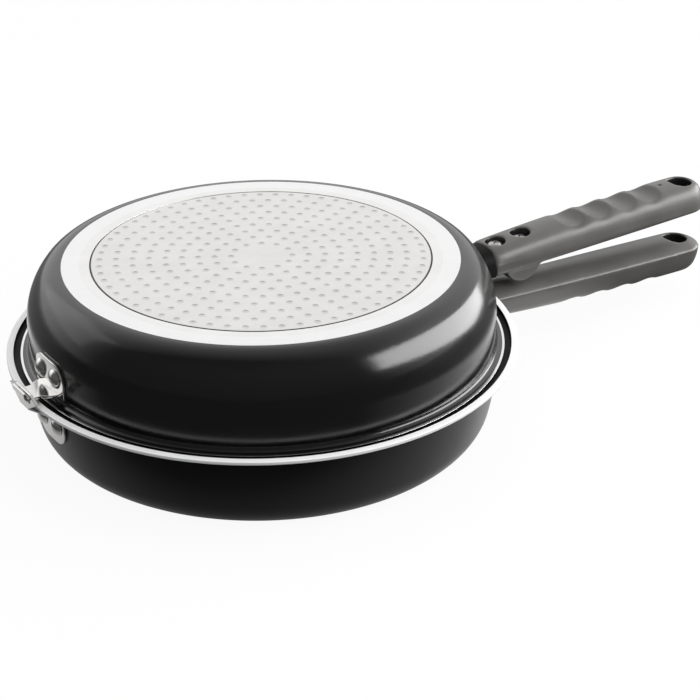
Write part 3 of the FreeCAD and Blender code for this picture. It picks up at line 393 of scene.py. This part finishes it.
def turned(name, points, zones, finishes, frame_of=Matrix.Identity(4), segments=96):
    """Turns a profile of (r, z) in millimetres about the z axis of frame_of."""
    shape = bmesh.new()
    rings = [ring_of(shape, r, z, segments) for r, z in points]
    for lower, upper, zone in zip(rings, rings[1:] + rings[:1], zones):
        if len(lower) == 1 and len(upper) == 1:
            continue
        for i in range(segments):
            j = (i + 1) % segments
            corners = [lower[i % len(lower)], lower[j % len(lower)],
                       upper[j % len(upper)], upper[i % len(upper)]]
            face = shape.faces.new([v for k, v in enumerate(corners) if v not in corners[:k]])
            face.material_index = zone
            face.smooth = True
    bmesh.ops.recalc_face_normals(shape, faces=shape.faces)
    shape.transform(Matrix.Scale(MM, 4) @ frame_of)
    return as_mesh(name, shape, finishes)


def placed(name, mesh):
    body = bpy.data.objects.new(name, mesh)
    bpy.context.scene.collection.objects.link(body)
    return body


def dress(name, mesh, *nodes):
    """Puts a mesh in the scene as the piece that stands for these nodes."""
    piece = placed(name, mesh)
    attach(piece, nodes[0].split("_")[0] + "_half")
    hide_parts(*nodes)
    print(name, "faces", len(mesh.polygons))


def joined(name, meshes, finishes):
    """One mesh from several, for a node that is a pair of equal fasteners."""
    shape = bmesh.new()
    for mesh in meshes:
        shape.from_mesh(mesh)
    return as_mesh(name, shape, finishes)


print("mesh helpers ready")

# %% [markdown]
# ## The two pans
# Each pan is one turned shell. Its wall is not a cone: it stands upright at the mouth, bows in
# slowly, and turns under with a tighter curve. Each stretch of the profile has a zone, which
# says whether it is coated, inside, bare metal, the band round the base plate, or part of the seam
# where the two pans meet.

# %% Sizes that the pans share
COATED, INSIDE, BARE, BAND, SEAM = range(5)
WALL_TURNS = 288
WALL_STEPS = (26, 14)
SHEET = 2.6
CLOSED_HEIGHT = 90.4
POCKET_RADIUS, POCKET_DEPTH = 85.75, 1.0
RING_RADIUS = 91.0


def curved_wall(big, big_radius, small, small_radius, flat):
    """Outer or inner wall from its top to the base: a long slow arc, then a tight one up to flat degrees."""
    lean = math.degrees(math.atan2(small[1] - big[1], small[0] - big[0]))
    return (arc(big, big_radius, 0, lean, WALL_STEPS[0])
            + arc(small, small_radius, lean, flat, WALL_STEPS[1])[1:])


print("wall steps", sum(WALL_STEPS))

# %% [markdown]
# The lower pan flares out into a stepped lip that the upper rim sits in. The lip's outer side and
# its top are bare, and the step inside it is dark, because the seam hides it from the light.

# %% Lower pan
LOWER_WALL, LOWER_BOW, LOWER_BOW_LEVEL = 119.6, 116.52, 39.6
LOWER_TURN, LOWER_TURN_INSIDE, LOWER_TURN_RADIUS = (100.0, 17.0), (100.316, 18.4), 17.0
LOWER_FLOOR = 4.0
LIP_RADIUS, STEP_RADIUS, STEP_LEVEL = 130.0, 126.4, 44.4
MOUTH_RADIUS = 117.0

bow_centre = (LOWER_WALL - LOWER_BOW, LOWER_BOW_LEVEL)
outer = curved_wall(bow_centre, LOWER_BOW, LOWER_TURN, LOWER_TURN_RADIUS, -90)
inner = curved_wall(bow_centre, LOWER_BOW - SHEET, LOWER_TURN_INSIDE, LOWER_TURN_RADIUS - SHEET, -90)
base = [(0, POCKET_DEPTH, 0, COATED), (POCKET_RADIUS, POCKET_DEPTH, 0.2, BAND),
        (POCKET_RADIUS, 0.0, 0.3, BAND), (RING_RADIUS, 0.0, 0, BARE)]
flare = [(121.5, 41.4, 1.2, COATED), (125.5, 42.4, 1.2, COATED), (128.9, 44.7, 0.4, BARE)]
lip = [(LIP_RADIUS, 45.0, 0.25, BARE), (LIP_RADIUS, RIM_LEVEL, 0.4, BARE),
       (STEP_RADIUS, RIM_LEVEL, 0.2, SEAM), (STEP_RADIUS, STEP_LEVEL, 0.3, SEAM),
       (MOUTH_RADIUS, STEP_LEVEL, 0.8, INSIDE)]
rows = (base + through(outer[::-1], COATED) + flare + lip
        + through(inner, INSIDE) + [(0, LOWER_FLOOR, 0, INSIDE)])
points, zones = rounded_profile(rows)
lower_finishes = [satin_black, nonstick, bare_aluminium, turned_band, guard_black]
lower_shell = turned("lower_pan_shell", points, zones, lower_finishes, segments=WALL_TURNS)
dress("lower_pan_shell", lower_shell, "lower_pan")

# %% [markdown]
# The upper pan's wall ends in a thin rim that stands out from it, with a round fillet above. A
# bright line of bare metal runs round the top of the rim.

# %% Upper pan
UPPER_WALL, UPPER_BOW, UPPER_BOW_LEVEL = 118.5, 35.738, 62.9
UPPER_TURN, UPPER_TURN_INSIDE, UPPER_TURN_RADIUS = (99.8, 76.4), (100.82, 75.0), 14.0
UPPER_CEILING = 86.4
RIM_RADIUS, RIM_FOOT, RIM_TOP = 123.1, 44.5, 45.8
FILLET_RADIUS, FILLET_STEPS = 2.6, 8

bow_centre = (UPPER_WALL - UPPER_BOW, UPPER_BOW_LEVEL)
outer = curved_wall(bow_centre, UPPER_BOW, UPPER_TURN, UPPER_TURN_RADIUS, 90)
inner = curved_wall(bow_centre, UPPER_BOW - SHEET, UPPER_TURN_INSIDE, UPPER_TURN_RADIUS - SHEET, 90)
rim = [(UPPER_WALL - SHEET, RIM_FOOT, 0.5, COATED), (RIM_RADIUS, RIM_FOOT, 0.3, COATED),
       (RIM_RADIUS, RIM_TOP, 0.2, SEAM), (121.9, RIM_TOP, 0, COATED)]
fillet = arc((UPPER_WALL + FILLET_RADIUS, RIM_TOP + FILLET_RADIUS), FILLET_RADIUS, 270, 180, FILLET_STEPS)
base = [(UPPER_TURN[0], CLOSED_HEIGHT, 0, BARE), (RING_RADIUS, CLOSED_HEIGHT, 0, BAND),
        (POCKET_RADIUS, CLOSED_HEIGHT, 0.3, BAND),
        (POCKET_RADIUS, CLOSED_HEIGHT - POCKET_DEPTH, 0.2, COATED),
        (0, CLOSED_HEIGHT - POCKET_DEPTH, 0, COATED)]
rows = ([(0, UPPER_CEILING, 0, INSIDE)] + through(inner[::-1], INSIDE) + rim
        + through(fillet, COATED) + through(outer[:-1], COATED) + base)
points, zones = rounded_profile(rows)
upper_finishes = [enamel, nonstick, base_ring, turned_band, rim_trim]
upper_shell = turned("upper_pan_shell", points, zones, upper_finishes, segments=WALL_TURNS)
dress("upper_pan_shell", upper_shell, "upper_pan")

# %% [markdown]
# ## The base plates
# Each plate is a steel disc pressed with nine rings of round dots. A texture could fake the dots,
# but from low down their edges catch the light, so they are real dimples: the disc is cut into
# rings of cells, one dimple to a cell, and plain strips of triangles join rings of different counts.

# %% Cells with a dimple each
DOT_RADIUS, DOT_DEPTH = 1.7, 0.3
CELL_REACH = 2.6
CELL_SIDE = 6
# each ring of a dimple: its share of the dot's radius, and its level
DIMPLE = [(1.28, 0.0), (1.1, 0.0), (1.0, -0.06), (0.88, -0.2), (0.7, -0.28), (0.35, -0.3)]
PLAIN, PRESSED, GAP_SHADE = range(3)


def press_dimple(shape, outline, centre):
    """Fills a cell: rings of points lead from its outline down into a round bowl."""
    headings = [math.atan2((v.co - centre).y, (v.co - centre).x) for v in outline]
    around = outline
    for share, rise in DIMPLE:
        within = [shape.verts.new(centre + Vector(on_circle(share * DOT_RADIUS, heading, rise)))
                  for heading in headings]
        for i in range(len(around)):
            j = (i + 1) % len(around)
            face = shape.faces.new((around[i], around[j], within[j], within[i]))
            # Faces inside a dimple take the darker dot steel, which is painted shade.
            face.material_index = PRESSED if share <= 1.0 else PLAIN
        around = within
    bottom = shape.verts.new((centre.x, centre.y, centre.z - DOT_DEPTH))
    for i in range(len(around)):
        face = shape.faces.new((around[i], around[(i + 1) % len(around)], bottom))
        face.material_index = PRESSED


def cell_ring(shape, reach, count, offset, level):
    """One ring of cells with a dimple in each. Returns its inner and outer edge points."""
    pitch = FULL_TURN / count
    shared = {}

    def corner(turn, r):
        """The point there, made once and used by every cell that touches it."""
        key = (round(turn, 7), round(r, 5))
        if key not in shared:
            shared[key] = shape.verts.new(on_circle(r, turn, level))
        return shared[key]

    ticks = [-1 + 2 * i / CELL_SIDE for i in range(CELL_SIDE)]
    walk = ([(1, t) for t in ticks] + [(-t, 1) for t in ticks]
            + [(-1, -t) for t in ticks] + [(t, -1) for t in ticks])
    for dot in range(count):
        middle = offset + pitch * dot
        outline = []
        for radial, angular in walk:
            turn = middle + angular * pitch / 2
            if abs(angular) == 1:
                side = dot + (1 if angular == 1 else 0)
                turn = offset + pitch * (side % count - 0.5)
            outline.append(corner(turn % FULL_TURN, reach + radial * CELL_REACH))
        press_dimple(shape, outline, Vector(on_circle(reach, middle, level)))
    edge = {side: [v for (_, r), v in shared.items() if abs(r - reach - side * CELL_REACH) < 1e-3]
            for side in (-1, 1)}
    return edge[-1], edge[1]


print("dots are", 2 * DOT_RADIUS, "mm across")

# %% [markdown]
# The strips between the rings are filled by walking round both edges at once, and always stepping
# to whichever next point comes sooner. The plate's outer edge takes the satin black finish, painted
# shade of the narrow gap next to the pan, which draws a thin dark line round it. The lower plate is
# the upper one's mirror image, facing down.

# %% Plates of dots
DOT_RINGS = 9
DOT_OUTER, DOT_STEP = 81.0, 8.2
DOTS_OUTSIDE, FEWER_EACH_RING = 60, 6
PLATE_SIDES = 360
PLATE_EDGE = [(84.9, 0.0), (85.3, -0.08), (85.5, -0.3), (85.5, -1.0)]
CORE_RADIUS, CORE_SIDES = 6.0, 48


def bridge(shape, inner, outer, zone=PLAIN):
    """Fills the strip between two closed rings of points that lie one inside the other."""
    def turn(vertex):
        return math.atan2(vertex.co.y, vertex.co.x) % FULL_TURN

    inner = sorted(inner, key=turn)
    outer = sorted(outer, key=turn)
    i = j = 0
    while i < len(inner) or j < len(outer):
        next_inner = turn(inner[i + 1]) if i + 1 < len(inner) else FULL_TURN + turn(inner[0])
        next_outer = turn(outer[j + 1]) if j + 1 < len(outer) else FULL_TURN + turn(outer[0])
        a, b = inner[i % len(inner)], outer[j % len(outer)]
        if j >= len(outer) or (i < len(inner) and next_inner < next_outer):
            face = shape.faces.new((a, b, inner[(i + 1) % len(inner)]))
            i += 1
        else:
            face = shape.faces.new((a, b, outer[(j + 1) % len(outer)]))
            j += 1
        face.material_index = zone


def cap(shape, ring, level):
    """Closes a ring with triangles that meet on the axis."""
    hub = shape.verts.new((0, 0, level))
    for i in range(len(ring)):
        shape.faces.new((ring[i], ring[(i + 1) % len(ring)], hub))


def dotted_plate(name, faces_down):
    shape = bmesh.new()
    edges = [ring_of(shape, r, CLOSED_HEIGHT + rise, PLATE_SIDES) for r, rise in PLATE_EDGE]
    # The edge rings take the black finish: painted shade of the narrow gap round the plate.
    for low, high in zip(edges, edges[1:]):
        bridge(shape, low, high, GAP_SHADE)
    cap(shape, edges[-1], CLOSED_HEIGHT - POCKET_DEPTH)
    previous = edges[0]
    for ring in range(DOT_RINGS):
        count = DOTS_OUTSIDE - FEWER_EACH_RING * ring
        offset = math.pi / count if ring % 2 else 0.0
        inner, outer = cell_ring(shape, DOT_OUTER - DOT_STEP * ring, count, offset, CLOSED_HEIGHT)
        bridge(shape, outer, previous)
        previous = inner
    core = ring_of(shape, CORE_RADIUS, CLOSED_HEIGHT, CORE_SIDES)
    bridge(shape, core, previous)
    cap(shape, core, CLOSED_HEIGHT)
    bmesh.ops.recalc_face_normals(shape, faces=shape.faces)
    for face in shape.faces:
        face.smooth = True
    if faces_down:
        shape.transform(Matrix.Translation((0, 0, CLOSED_HEIGHT)) @ Matrix.Scale(-1, 4, (0, 0, 1)))
        bmesh.ops.reverse_faces(shape, faces=shape.faces)
    shape.transform(Matrix.Scale(MM, 4))
    return as_mesh(name, shape, [plate_steel, dot_steel_shaded, satin_black])


for half in ("upper", "lower"):
    name = half + "_dotted_plate"
    dress(name, dotted_plate(name, half == "lower"), half + "_base_plate")

# %% [markdown]
# ## Softened edges on sheet metal and mouldings
# Nothing moulded or pressed has a knife edge. A Bevel modifier needs tidy faces, which a solid cut
# by many tools doesn't have. Remeshing the solid into a fine even skin and smoothing that a little
# rounds every edge by the same small amount, and leaves the shape where it is. The grips' long
# outer edges are rounder still, so their sides are also drawn in there.

# %% Soften the solids
GRIP_FLANK, GRIP_OUTSIDE = 7.4, 13
DRAW_ROUNDS = 140
SOFTENED = {
    "handle": ("grip", 0.6, 24, grip_plastic), "hinge_bracket": ("hinge_strap", 0.22, 3, hinge_steel),
    "handle_bracket": ("bracket", 0.35, 3, bracket_black), "flame_guard": ("guard", 0.3, 2, guard_black)}


def as_shaped(name, body, finishes, *helpers):
    """The mesh that a body's modifiers give. The body and its helpers are thrown away."""
    mesh = bpy.data.meshes.new_from_object(body.evaluated_get(bpy.context.evaluated_depsgraph_get()))
    for spare in (body, *helpers):
        bpy.data.objects.remove(spare)
    mesh.name = name
    mesh.materials.clear()
    for finish in finishes:
        mesh.materials.append(finish)
    return mesh


def softened(name, node, grid, rounds, finish):
    """A fine even skin over a node's solid, with its edges worn round."""
    shape = bmesh.new()
    shape.from_mesh(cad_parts[node].data)
    bmesh.ops.remove_doubles(shape, verts=shape.verts, dist=1e-6)
    rough = placed(name + "_rough", as_mesh(name + "_rough", shape, []))
    skin = rough.modifiers.new("skin", "REMESH")
    skin.mode = "VOXEL"
    skin.voxel_size = grid * MM
    wear = rough.modifiers.new("wear", "SMOOTH")
    wear.factor = 0.5
    wear.iterations = rounds
    mesh = as_shaped(name, rough, [finish])
    mesh.shade_smooth()
    return mesh


def draw_in(mesh):
    """Rounds the long outer edges of a grip further, by drawing only its sides in."""
    shape = bmesh.new()
    shape.from_mesh(mesh)
    flanks = [v for v in shape.verts
              if abs(v.co.y) > GRIP_FLANK * MM and abs(v.co.z - GRIP_MIDDLE * MM) > GRIP_OUTSIDE * MM]
    for _ in range(DRAW_ROUNDS):
        bmesh.ops.smooth_vert(shape, verts=flanks, factor=0.5, use_axis_y=True)
    shape.to_mesh(mesh)
    shape.free()


for half in HALVES:
    for kind, (word, grid, rounds, finish) in SOFTENED.items():
        name = "%s_%s" % (half, word)
        node = "%s_%s" % (half, kind)
        skin = softened(name, node, grid, rounds, finish)
        if kind == "handle":
            draw_in(skin)
        dress(name, skin, node)

# %% [markdown]
# ## Rivets
# Each rivet has a polished dome outside and a flattened end inside, and stands square to the wall.
# Broad ones hold the hinge and smaller ones hold the handle brackets, four of each, in pairs.

# %% Turn the rivets
UPRIGHT_TO_OUTWARD = Matrix.Rotation(math.pi / 2, 4, "Y")
RIVET_SIDES = 64
INNER_END = [(0, -3.55), (1.2, -3.55), (1.7, -3.4), (2.1, -3.62), (3.0, -3.7), (3.9, -3.55),
             (4.2, -3.25), (4.2, -2.85), (4.0, -2.7), (2.5, -2.7)]
STEM_RADIUS = 2.5
SEAT_GAP = 0.05
HEAD_EDGE = 0.25


def wall_frame(outward, side, offset, half, level):
    """Frame on the outer wall whose z axis points straight out of it."""
    wall, lean = UPPER_WALL, 0.0
    if half == "lower":
        lean = math.asin((level - LOWER_BOW_LEVEL) / LOWER_BOW)
        wall = LOWER_WALL + LOWER_BOW * (math.cos(lean) - 1)
    heading = math.asin(offset / wall) * side
    heading = heading if outward > 0 else math.pi - heading
    spot = Matrix.Translation(on_circle(wall, heading, level))
    return spot @ Matrix.Rotation(heading, 4, "Z") @ Matrix.Rotation(-lean, 4, "Y") @ UPRIGHT_TO_OUTWARD


def rivet_profile(head, dome, sheet):
    """From the flattened end, up the stem, round the head's edge and over its dome to the axis."""
    ball = (head ** 2 + (dome - HEAD_EDGE) ** 2) / (2 * (dome - HEAD_EDGE))
    seat = SEAT_GAP + sheet
    edge = math.degrees(math.asin(head / ball))
    crown = arc((0, seat + dome - ball), ball, 90, 90 - edge, 14)[:-1]
    return INNER_END + [(STEM_RADIUS, seat), (head - 0.15, seat), (head, seat + 0.12)] + crown[::-1]


# half, what it holds, side of the pan, offset and level, head radius, dome height, sheet under it
RIVETS = [
    ("lower", "hinge", -1, 7.4, 33.1, 5.0, 2.8, 1.4),
    ("upper", "hinge", -1, 7.4, 58.6186, 5.0, 2.8, 1.4),
    ("lower", "handle", 1, 11.9, 28.55, 4.1, 1.9, 1.8),
    ("upper", "handle", 1, 11.9, 54.95, 4.1, 1.9, 1.8)]
for half, holds, outward, offset, level, head, dome, sheet in RIVETS:
    profile = rivet_profile(head, dome, sheet)
    name = "%s_%s_rivet_pair" % (half, holds)
    pair = [turned(name + str(side), profile, [0] * len(profile), [rivet_steel],
                   wall_frame(outward, side, offset, half, level), RIVET_SIDES) for side in (1, -1)]
    dress(name, joined(name, pair, [rivet_steel]), "%s_%s_rivets" % (half, holds))

# %% [markdown]
# ## Screws and washers
# Two cross-headed screws hold each grip, at the bottom of round recesses, each on a bright washer.
# The head and the shank are turned, with the thread as plain grooves, because the grip hides it.
# The cross is cut out of the head. The lower grip's screws are the same ones, turned over.

# %% Screw helpers
SCREW_TIP, THREAD_START, THREAD_PITCH = 10.9, 11.7, 0.8
THREAD_ROOT, THREAD_CREST = 1.95, 2.4
HEAD_FOOT, HEAD_RADIUS, HEAD_WALL, HEAD_DOME = 18.2, 4.1, 0.9, 1.5
CROSS_DEPTH, CROSS_TURN = 1.15, 0.6
CROSS_BOTTOM, CROSS_TOP = (3.2, 0.6), (4.6, 0.9)


def in_grip(x, half):
    """Frame at x on the grips' middle plane, turned over for the lower grip."""
    flip = Matrix.Rotation(math.pi, 4, "X") if half == "lower" else Matrix.Identity(4)
    return Matrix.Translation((x, 0, GRIP_MIDDLE)) @ flip


def screw_profile():
    shank = [(0, SCREW_TIP), (1.2, SCREW_TIP + 0.4)]
    level = THREAD_START
    while level < HEAD_FOOT - 1.6:
        shank += [(THREAD_ROOT, level), (THREAD_CREST, level + 0.35)]
        level += THREAD_PITCH
    shank += [(2.0, level), (2.0, HEAD_FOOT - 0.3), (2.2, HEAD_FOOT)]
    shoulder = HEAD_FOOT + HEAD_WALL
    head = [(HEAD_RADIUS - 0.15, HEAD_FOOT), (HEAD_RADIUS, HEAD_FOOT + 0.2), (HEAD_RADIUS, shoulder)]
    head += [(HEAD_RADIUS * math.cos(t), shoulder + HEAD_DOME * math.sin(t))
             for t in (0.2, 0.45, 0.7, 0.95, 1.2, 1.4)]
    return shank + head + [(0, shoulder + HEAD_DOME)]


def cross_knife(name):
    """Two crossed bars that narrow downwards, to be cut out of a screw's head."""
    shape = bmesh.new()
    for turn in (0, math.pi / 2):
        arm = bmesh.ops.create_cube(shape, size=1.0)["verts"]
        for vertex in arm:
            deep = vertex.co.z < 0
            length, width = CROSS_BOTTOM if deep else CROSS_TOP
            level = HEAD_FOOT + (CROSS_DEPTH if deep else 3.0)
            vertex.co = Vector((vertex.co.x * length, vertex.co.y * width, level))
        bmesh.ops.rotate(shape, verts=arm, cent=(0, 0, 0), matrix=Matrix.Rotation(turn + CROSS_TURN, 3, "Z"))
    shape.transform(Matrix.Scale(MM, 4))
    return placed(name + "_knife", as_mesh(name + "_knife", shape, []))


def screw_mesh(name, x, half):
    profile = screw_profile()
    body = placed(name + "_blank", turned(name, profile, [0] * len(profile), [screw_steel], segments=48))
    knife = cross_knife(name)
    cut = body.modifiers.new("cross", "BOOLEAN")
    cut.operation = "DIFFERENCE"
    cut.solver = "EXACT"
    cut.use_self = True
    cut.object = knife
    mesh = as_shaped(name, body, [screw_steel], knife)
    mesh.transform(Matrix.Scale(MM, 4) @ in_grip(x, half) @ Matrix.Scale(1 / MM, 4))
    return mesh


print("screw profile", len(screw_profile()), "points")

# %% Turn the screws and washers
WASHER_HOLE, WASHER_RADIUS, WASHER_FOOT = 2.6, 5.1, 17.4
WASHER_SIDES = 64

washer_rows = [(WASHER_HOLE, WASHER_FOOT, 0.15, 0), (WASHER_RADIUS, WASHER_FOOT, 0.2, 0),
               (WASHER_RADIUS, HEAD_FOOT, 0.3, 0), (WASHER_HOLE, HEAD_FOOT, 0.3, 0)]
points, zones = rounded_profile(washer_rows, closed=True)
for half in HALVES:
    for end, x in SCREW_PLACES.items():
        name = "%s_%s_cross_screw" % (half, end)
        dress(name, screw_mesh(name, x, half), "%s_%s_screw" % (half, end))
    name = half + "_washer_pair"
    pair = [turned(name + end, points, zones, [washer_steel], in_grip(x, half), WASHER_SIDES)
            for end, x in SCREW_PLACES.items()]
    dress(name, joined(name, pair, [washer_steel]), half + "_screw_washers")

# %% [markdown]
# ## Sky and floor
# The picture's background is plain white, so the sky and the floor are white to the camera. Full
# white all round would wash out the black coatings, so reflections see them bright only on the far
# side and dim on the near side. As light, the sky shines softly from above and from the front
# right, and the floor gives none. Under its glow the floor is a matt surface, which is what keeps
# the pan's faint shadow.

# %% Helpers for the surroundings
FAR_SIDE = spin @ Vector((0.2, 0.98, 0))
FRONT_RIGHT = spin @ Vector((0.9, -0.44, 0))
# each pattern of brightness: from, to, and the part of its input that it runs over
SKY_DIM_OVERHEAD = (1.0, 0.45, 0.6, 0.9)
SKY_BRIGHT_FAR = (0.09, 1.0, -0.35, 0.35)
SKY_BRIGHT_ABOVE = (0.1, 1.75, 0.2, 0.8)
SKY_BRIGHT_FRONT = (0.3, 1.3, -0.6, 0.4)
FLOOR_BRIGHT_FAR = (0.0, 1.3, -0.15, 0.06)
FLOOR_BRIGHT_CLOSE = (1.0, 0.12, 0.2, 0.25)


def toward(tree, vector, side):
    """How far a vector leans to one side of the room."""
    return step(tree, "VectorMath", {0: vector, 1: side}, operation="DOT_PRODUCT")["Value"]


def seen_as(tree, mirrored, light):
    """1 for what the camera sees, mirrored for what shows in reflections, and light for light itself."""
    rays = step(tree, "LightPath", {})
    unseen = blend(tree, rays["Is Glossy Ray"], light, mirrored)
    seen = calc(tree, "MAXIMUM", rays["Is Camera Ray"], rays["Is Transmission Ray"])
    return blend(tree, seen, unseen, 1.0)


print("far side", [round(value, 2) for value in FAR_SIDE])

# %% White sky
sky = bpy.data.worlds.new("white_sky")
bpy.context.scene.world = sky
sky.use_nodes = True
tree = sky.node_tree
heading = step(tree, "TexCoord", {})["Generated"]
height = step(tree, "SeparateXYZ", {0: heading})[2]
overhead = remap(tree, height, *SKY_DIM_OVERHEAD)
sideways = remap(tree, toward(tree, heading, FAR_SIDE), *SKY_BRIGHT_FAR)
from_above = remap(tree, height, *SKY_BRIGHT_ABOVE)
from_front = remap(tree, toward(tree, heading, FRONT_RIGHT), *SKY_BRIGHT_FRONT)
mirrored = calc(tree, "MULTIPLY", overhead, sideways)
light = calc(tree, "MULTIPLY", from_above, from_front)
backdrop = tree.nodes["Background"]
backdrop.inputs["Color"].default_value = (1, 1, 1, 1)
tree.links.new(seen_as(tree, mirrored, light), backdrop.inputs["Strength"])
print("sky ready", sky.name)

# %% Pale floor
FLOOR_GLOW = 0.93
FLOOR_RADIUS = 4.0
FLOOR_GAP = 0.0002

floor_finish = bpy.data.materials.new("pale_floor")
floor_finish.use_nodes = True
tree = floor_finish.node_tree
matt = tree.nodes["Principled BSDF"]
matt.inputs["Base Color"].default_value = (0.05, 0.05, 0.05, 1)
matt.inputs["Roughness"].default_value = 0.9
matt.inputs["Specular IOR Level"].default_value = 0.0
spot = coordinates(tree)
sideways = remap(tree, toward(tree, spot, FAR_SIDE), *FLOOR_BRIGHT_FAR)
reach = step(tree, "VectorMath", {0: spot}, operation="LENGTH")["Value"]
close_by = remap(tree, reach, *FLOOR_BRIGHT_CLOSE)
mirrored = calc(tree, "MULTIPLY", sideways, close_by)
strength = calc(tree, "MULTIPLY", seen_as(tree, mirrored, 0.0), FLOOR_GLOW)
glow = step(tree, "Emission", {"Color": (1, 1, 1, 1), "Strength": strength})[0]
total = step(tree, "AddShader", {0: matt.outputs[0], 1: glow})[0]
tree.links.new(total, tree.nodes["Material Output"].inputs["Surface"])

shape = bmesh.new()
bmesh.ops.create_circle(shape, cap_ends=True, cap_tris=False, segments=96, radius=FLOOR_RADIUS)
floor = placed("floor", as_mesh("floor", shape, [floor_finish]))
floor.location.z = -FLOOR_GAP
print("floor ready", floor.name)

# %% [markdown]
# ## Lamps
# Two broad lamps do the rest. A long one at the right draws the highlight on the upper wall and
# lights the grips, and a weak one at the left lifts the hinge out of the dark.

# %% Lamps
LAMP_AIM = Vector((0, 0, 0.05))


def softbox(name, place, size, power, along):
    """A broad lamp, placed by right, away and up as the camera sees them. Its long side lies along."""
    light = bpy.data.lights.new(name, "AREA")
    light.shape = "RECTANGLE"
    light.size, light.size_y = size
    light.energy = power
    back = (Vector(place) - LAMP_AIM).normalized()
    length = (Vector(along) - back * back.dot(Vector(along))).normalized()
    turn = Matrix((length, back.cross(length), back)).transposed().to_4x4()
    placed(name, light).matrix_world = spin @ Matrix.Translation(place) @ turn


softbox("right_lamp", (1.14, 0.15, 0.395), (1.9, 0.5), 15, (0.08, 0.62, -0.17))
softbox("left_lamp", (-1.1, 0.5, 0.7), (1.2, 0.8), 1.3, (0.4, 0.9, 0))
print("lamps", len(bpy.data.lights))
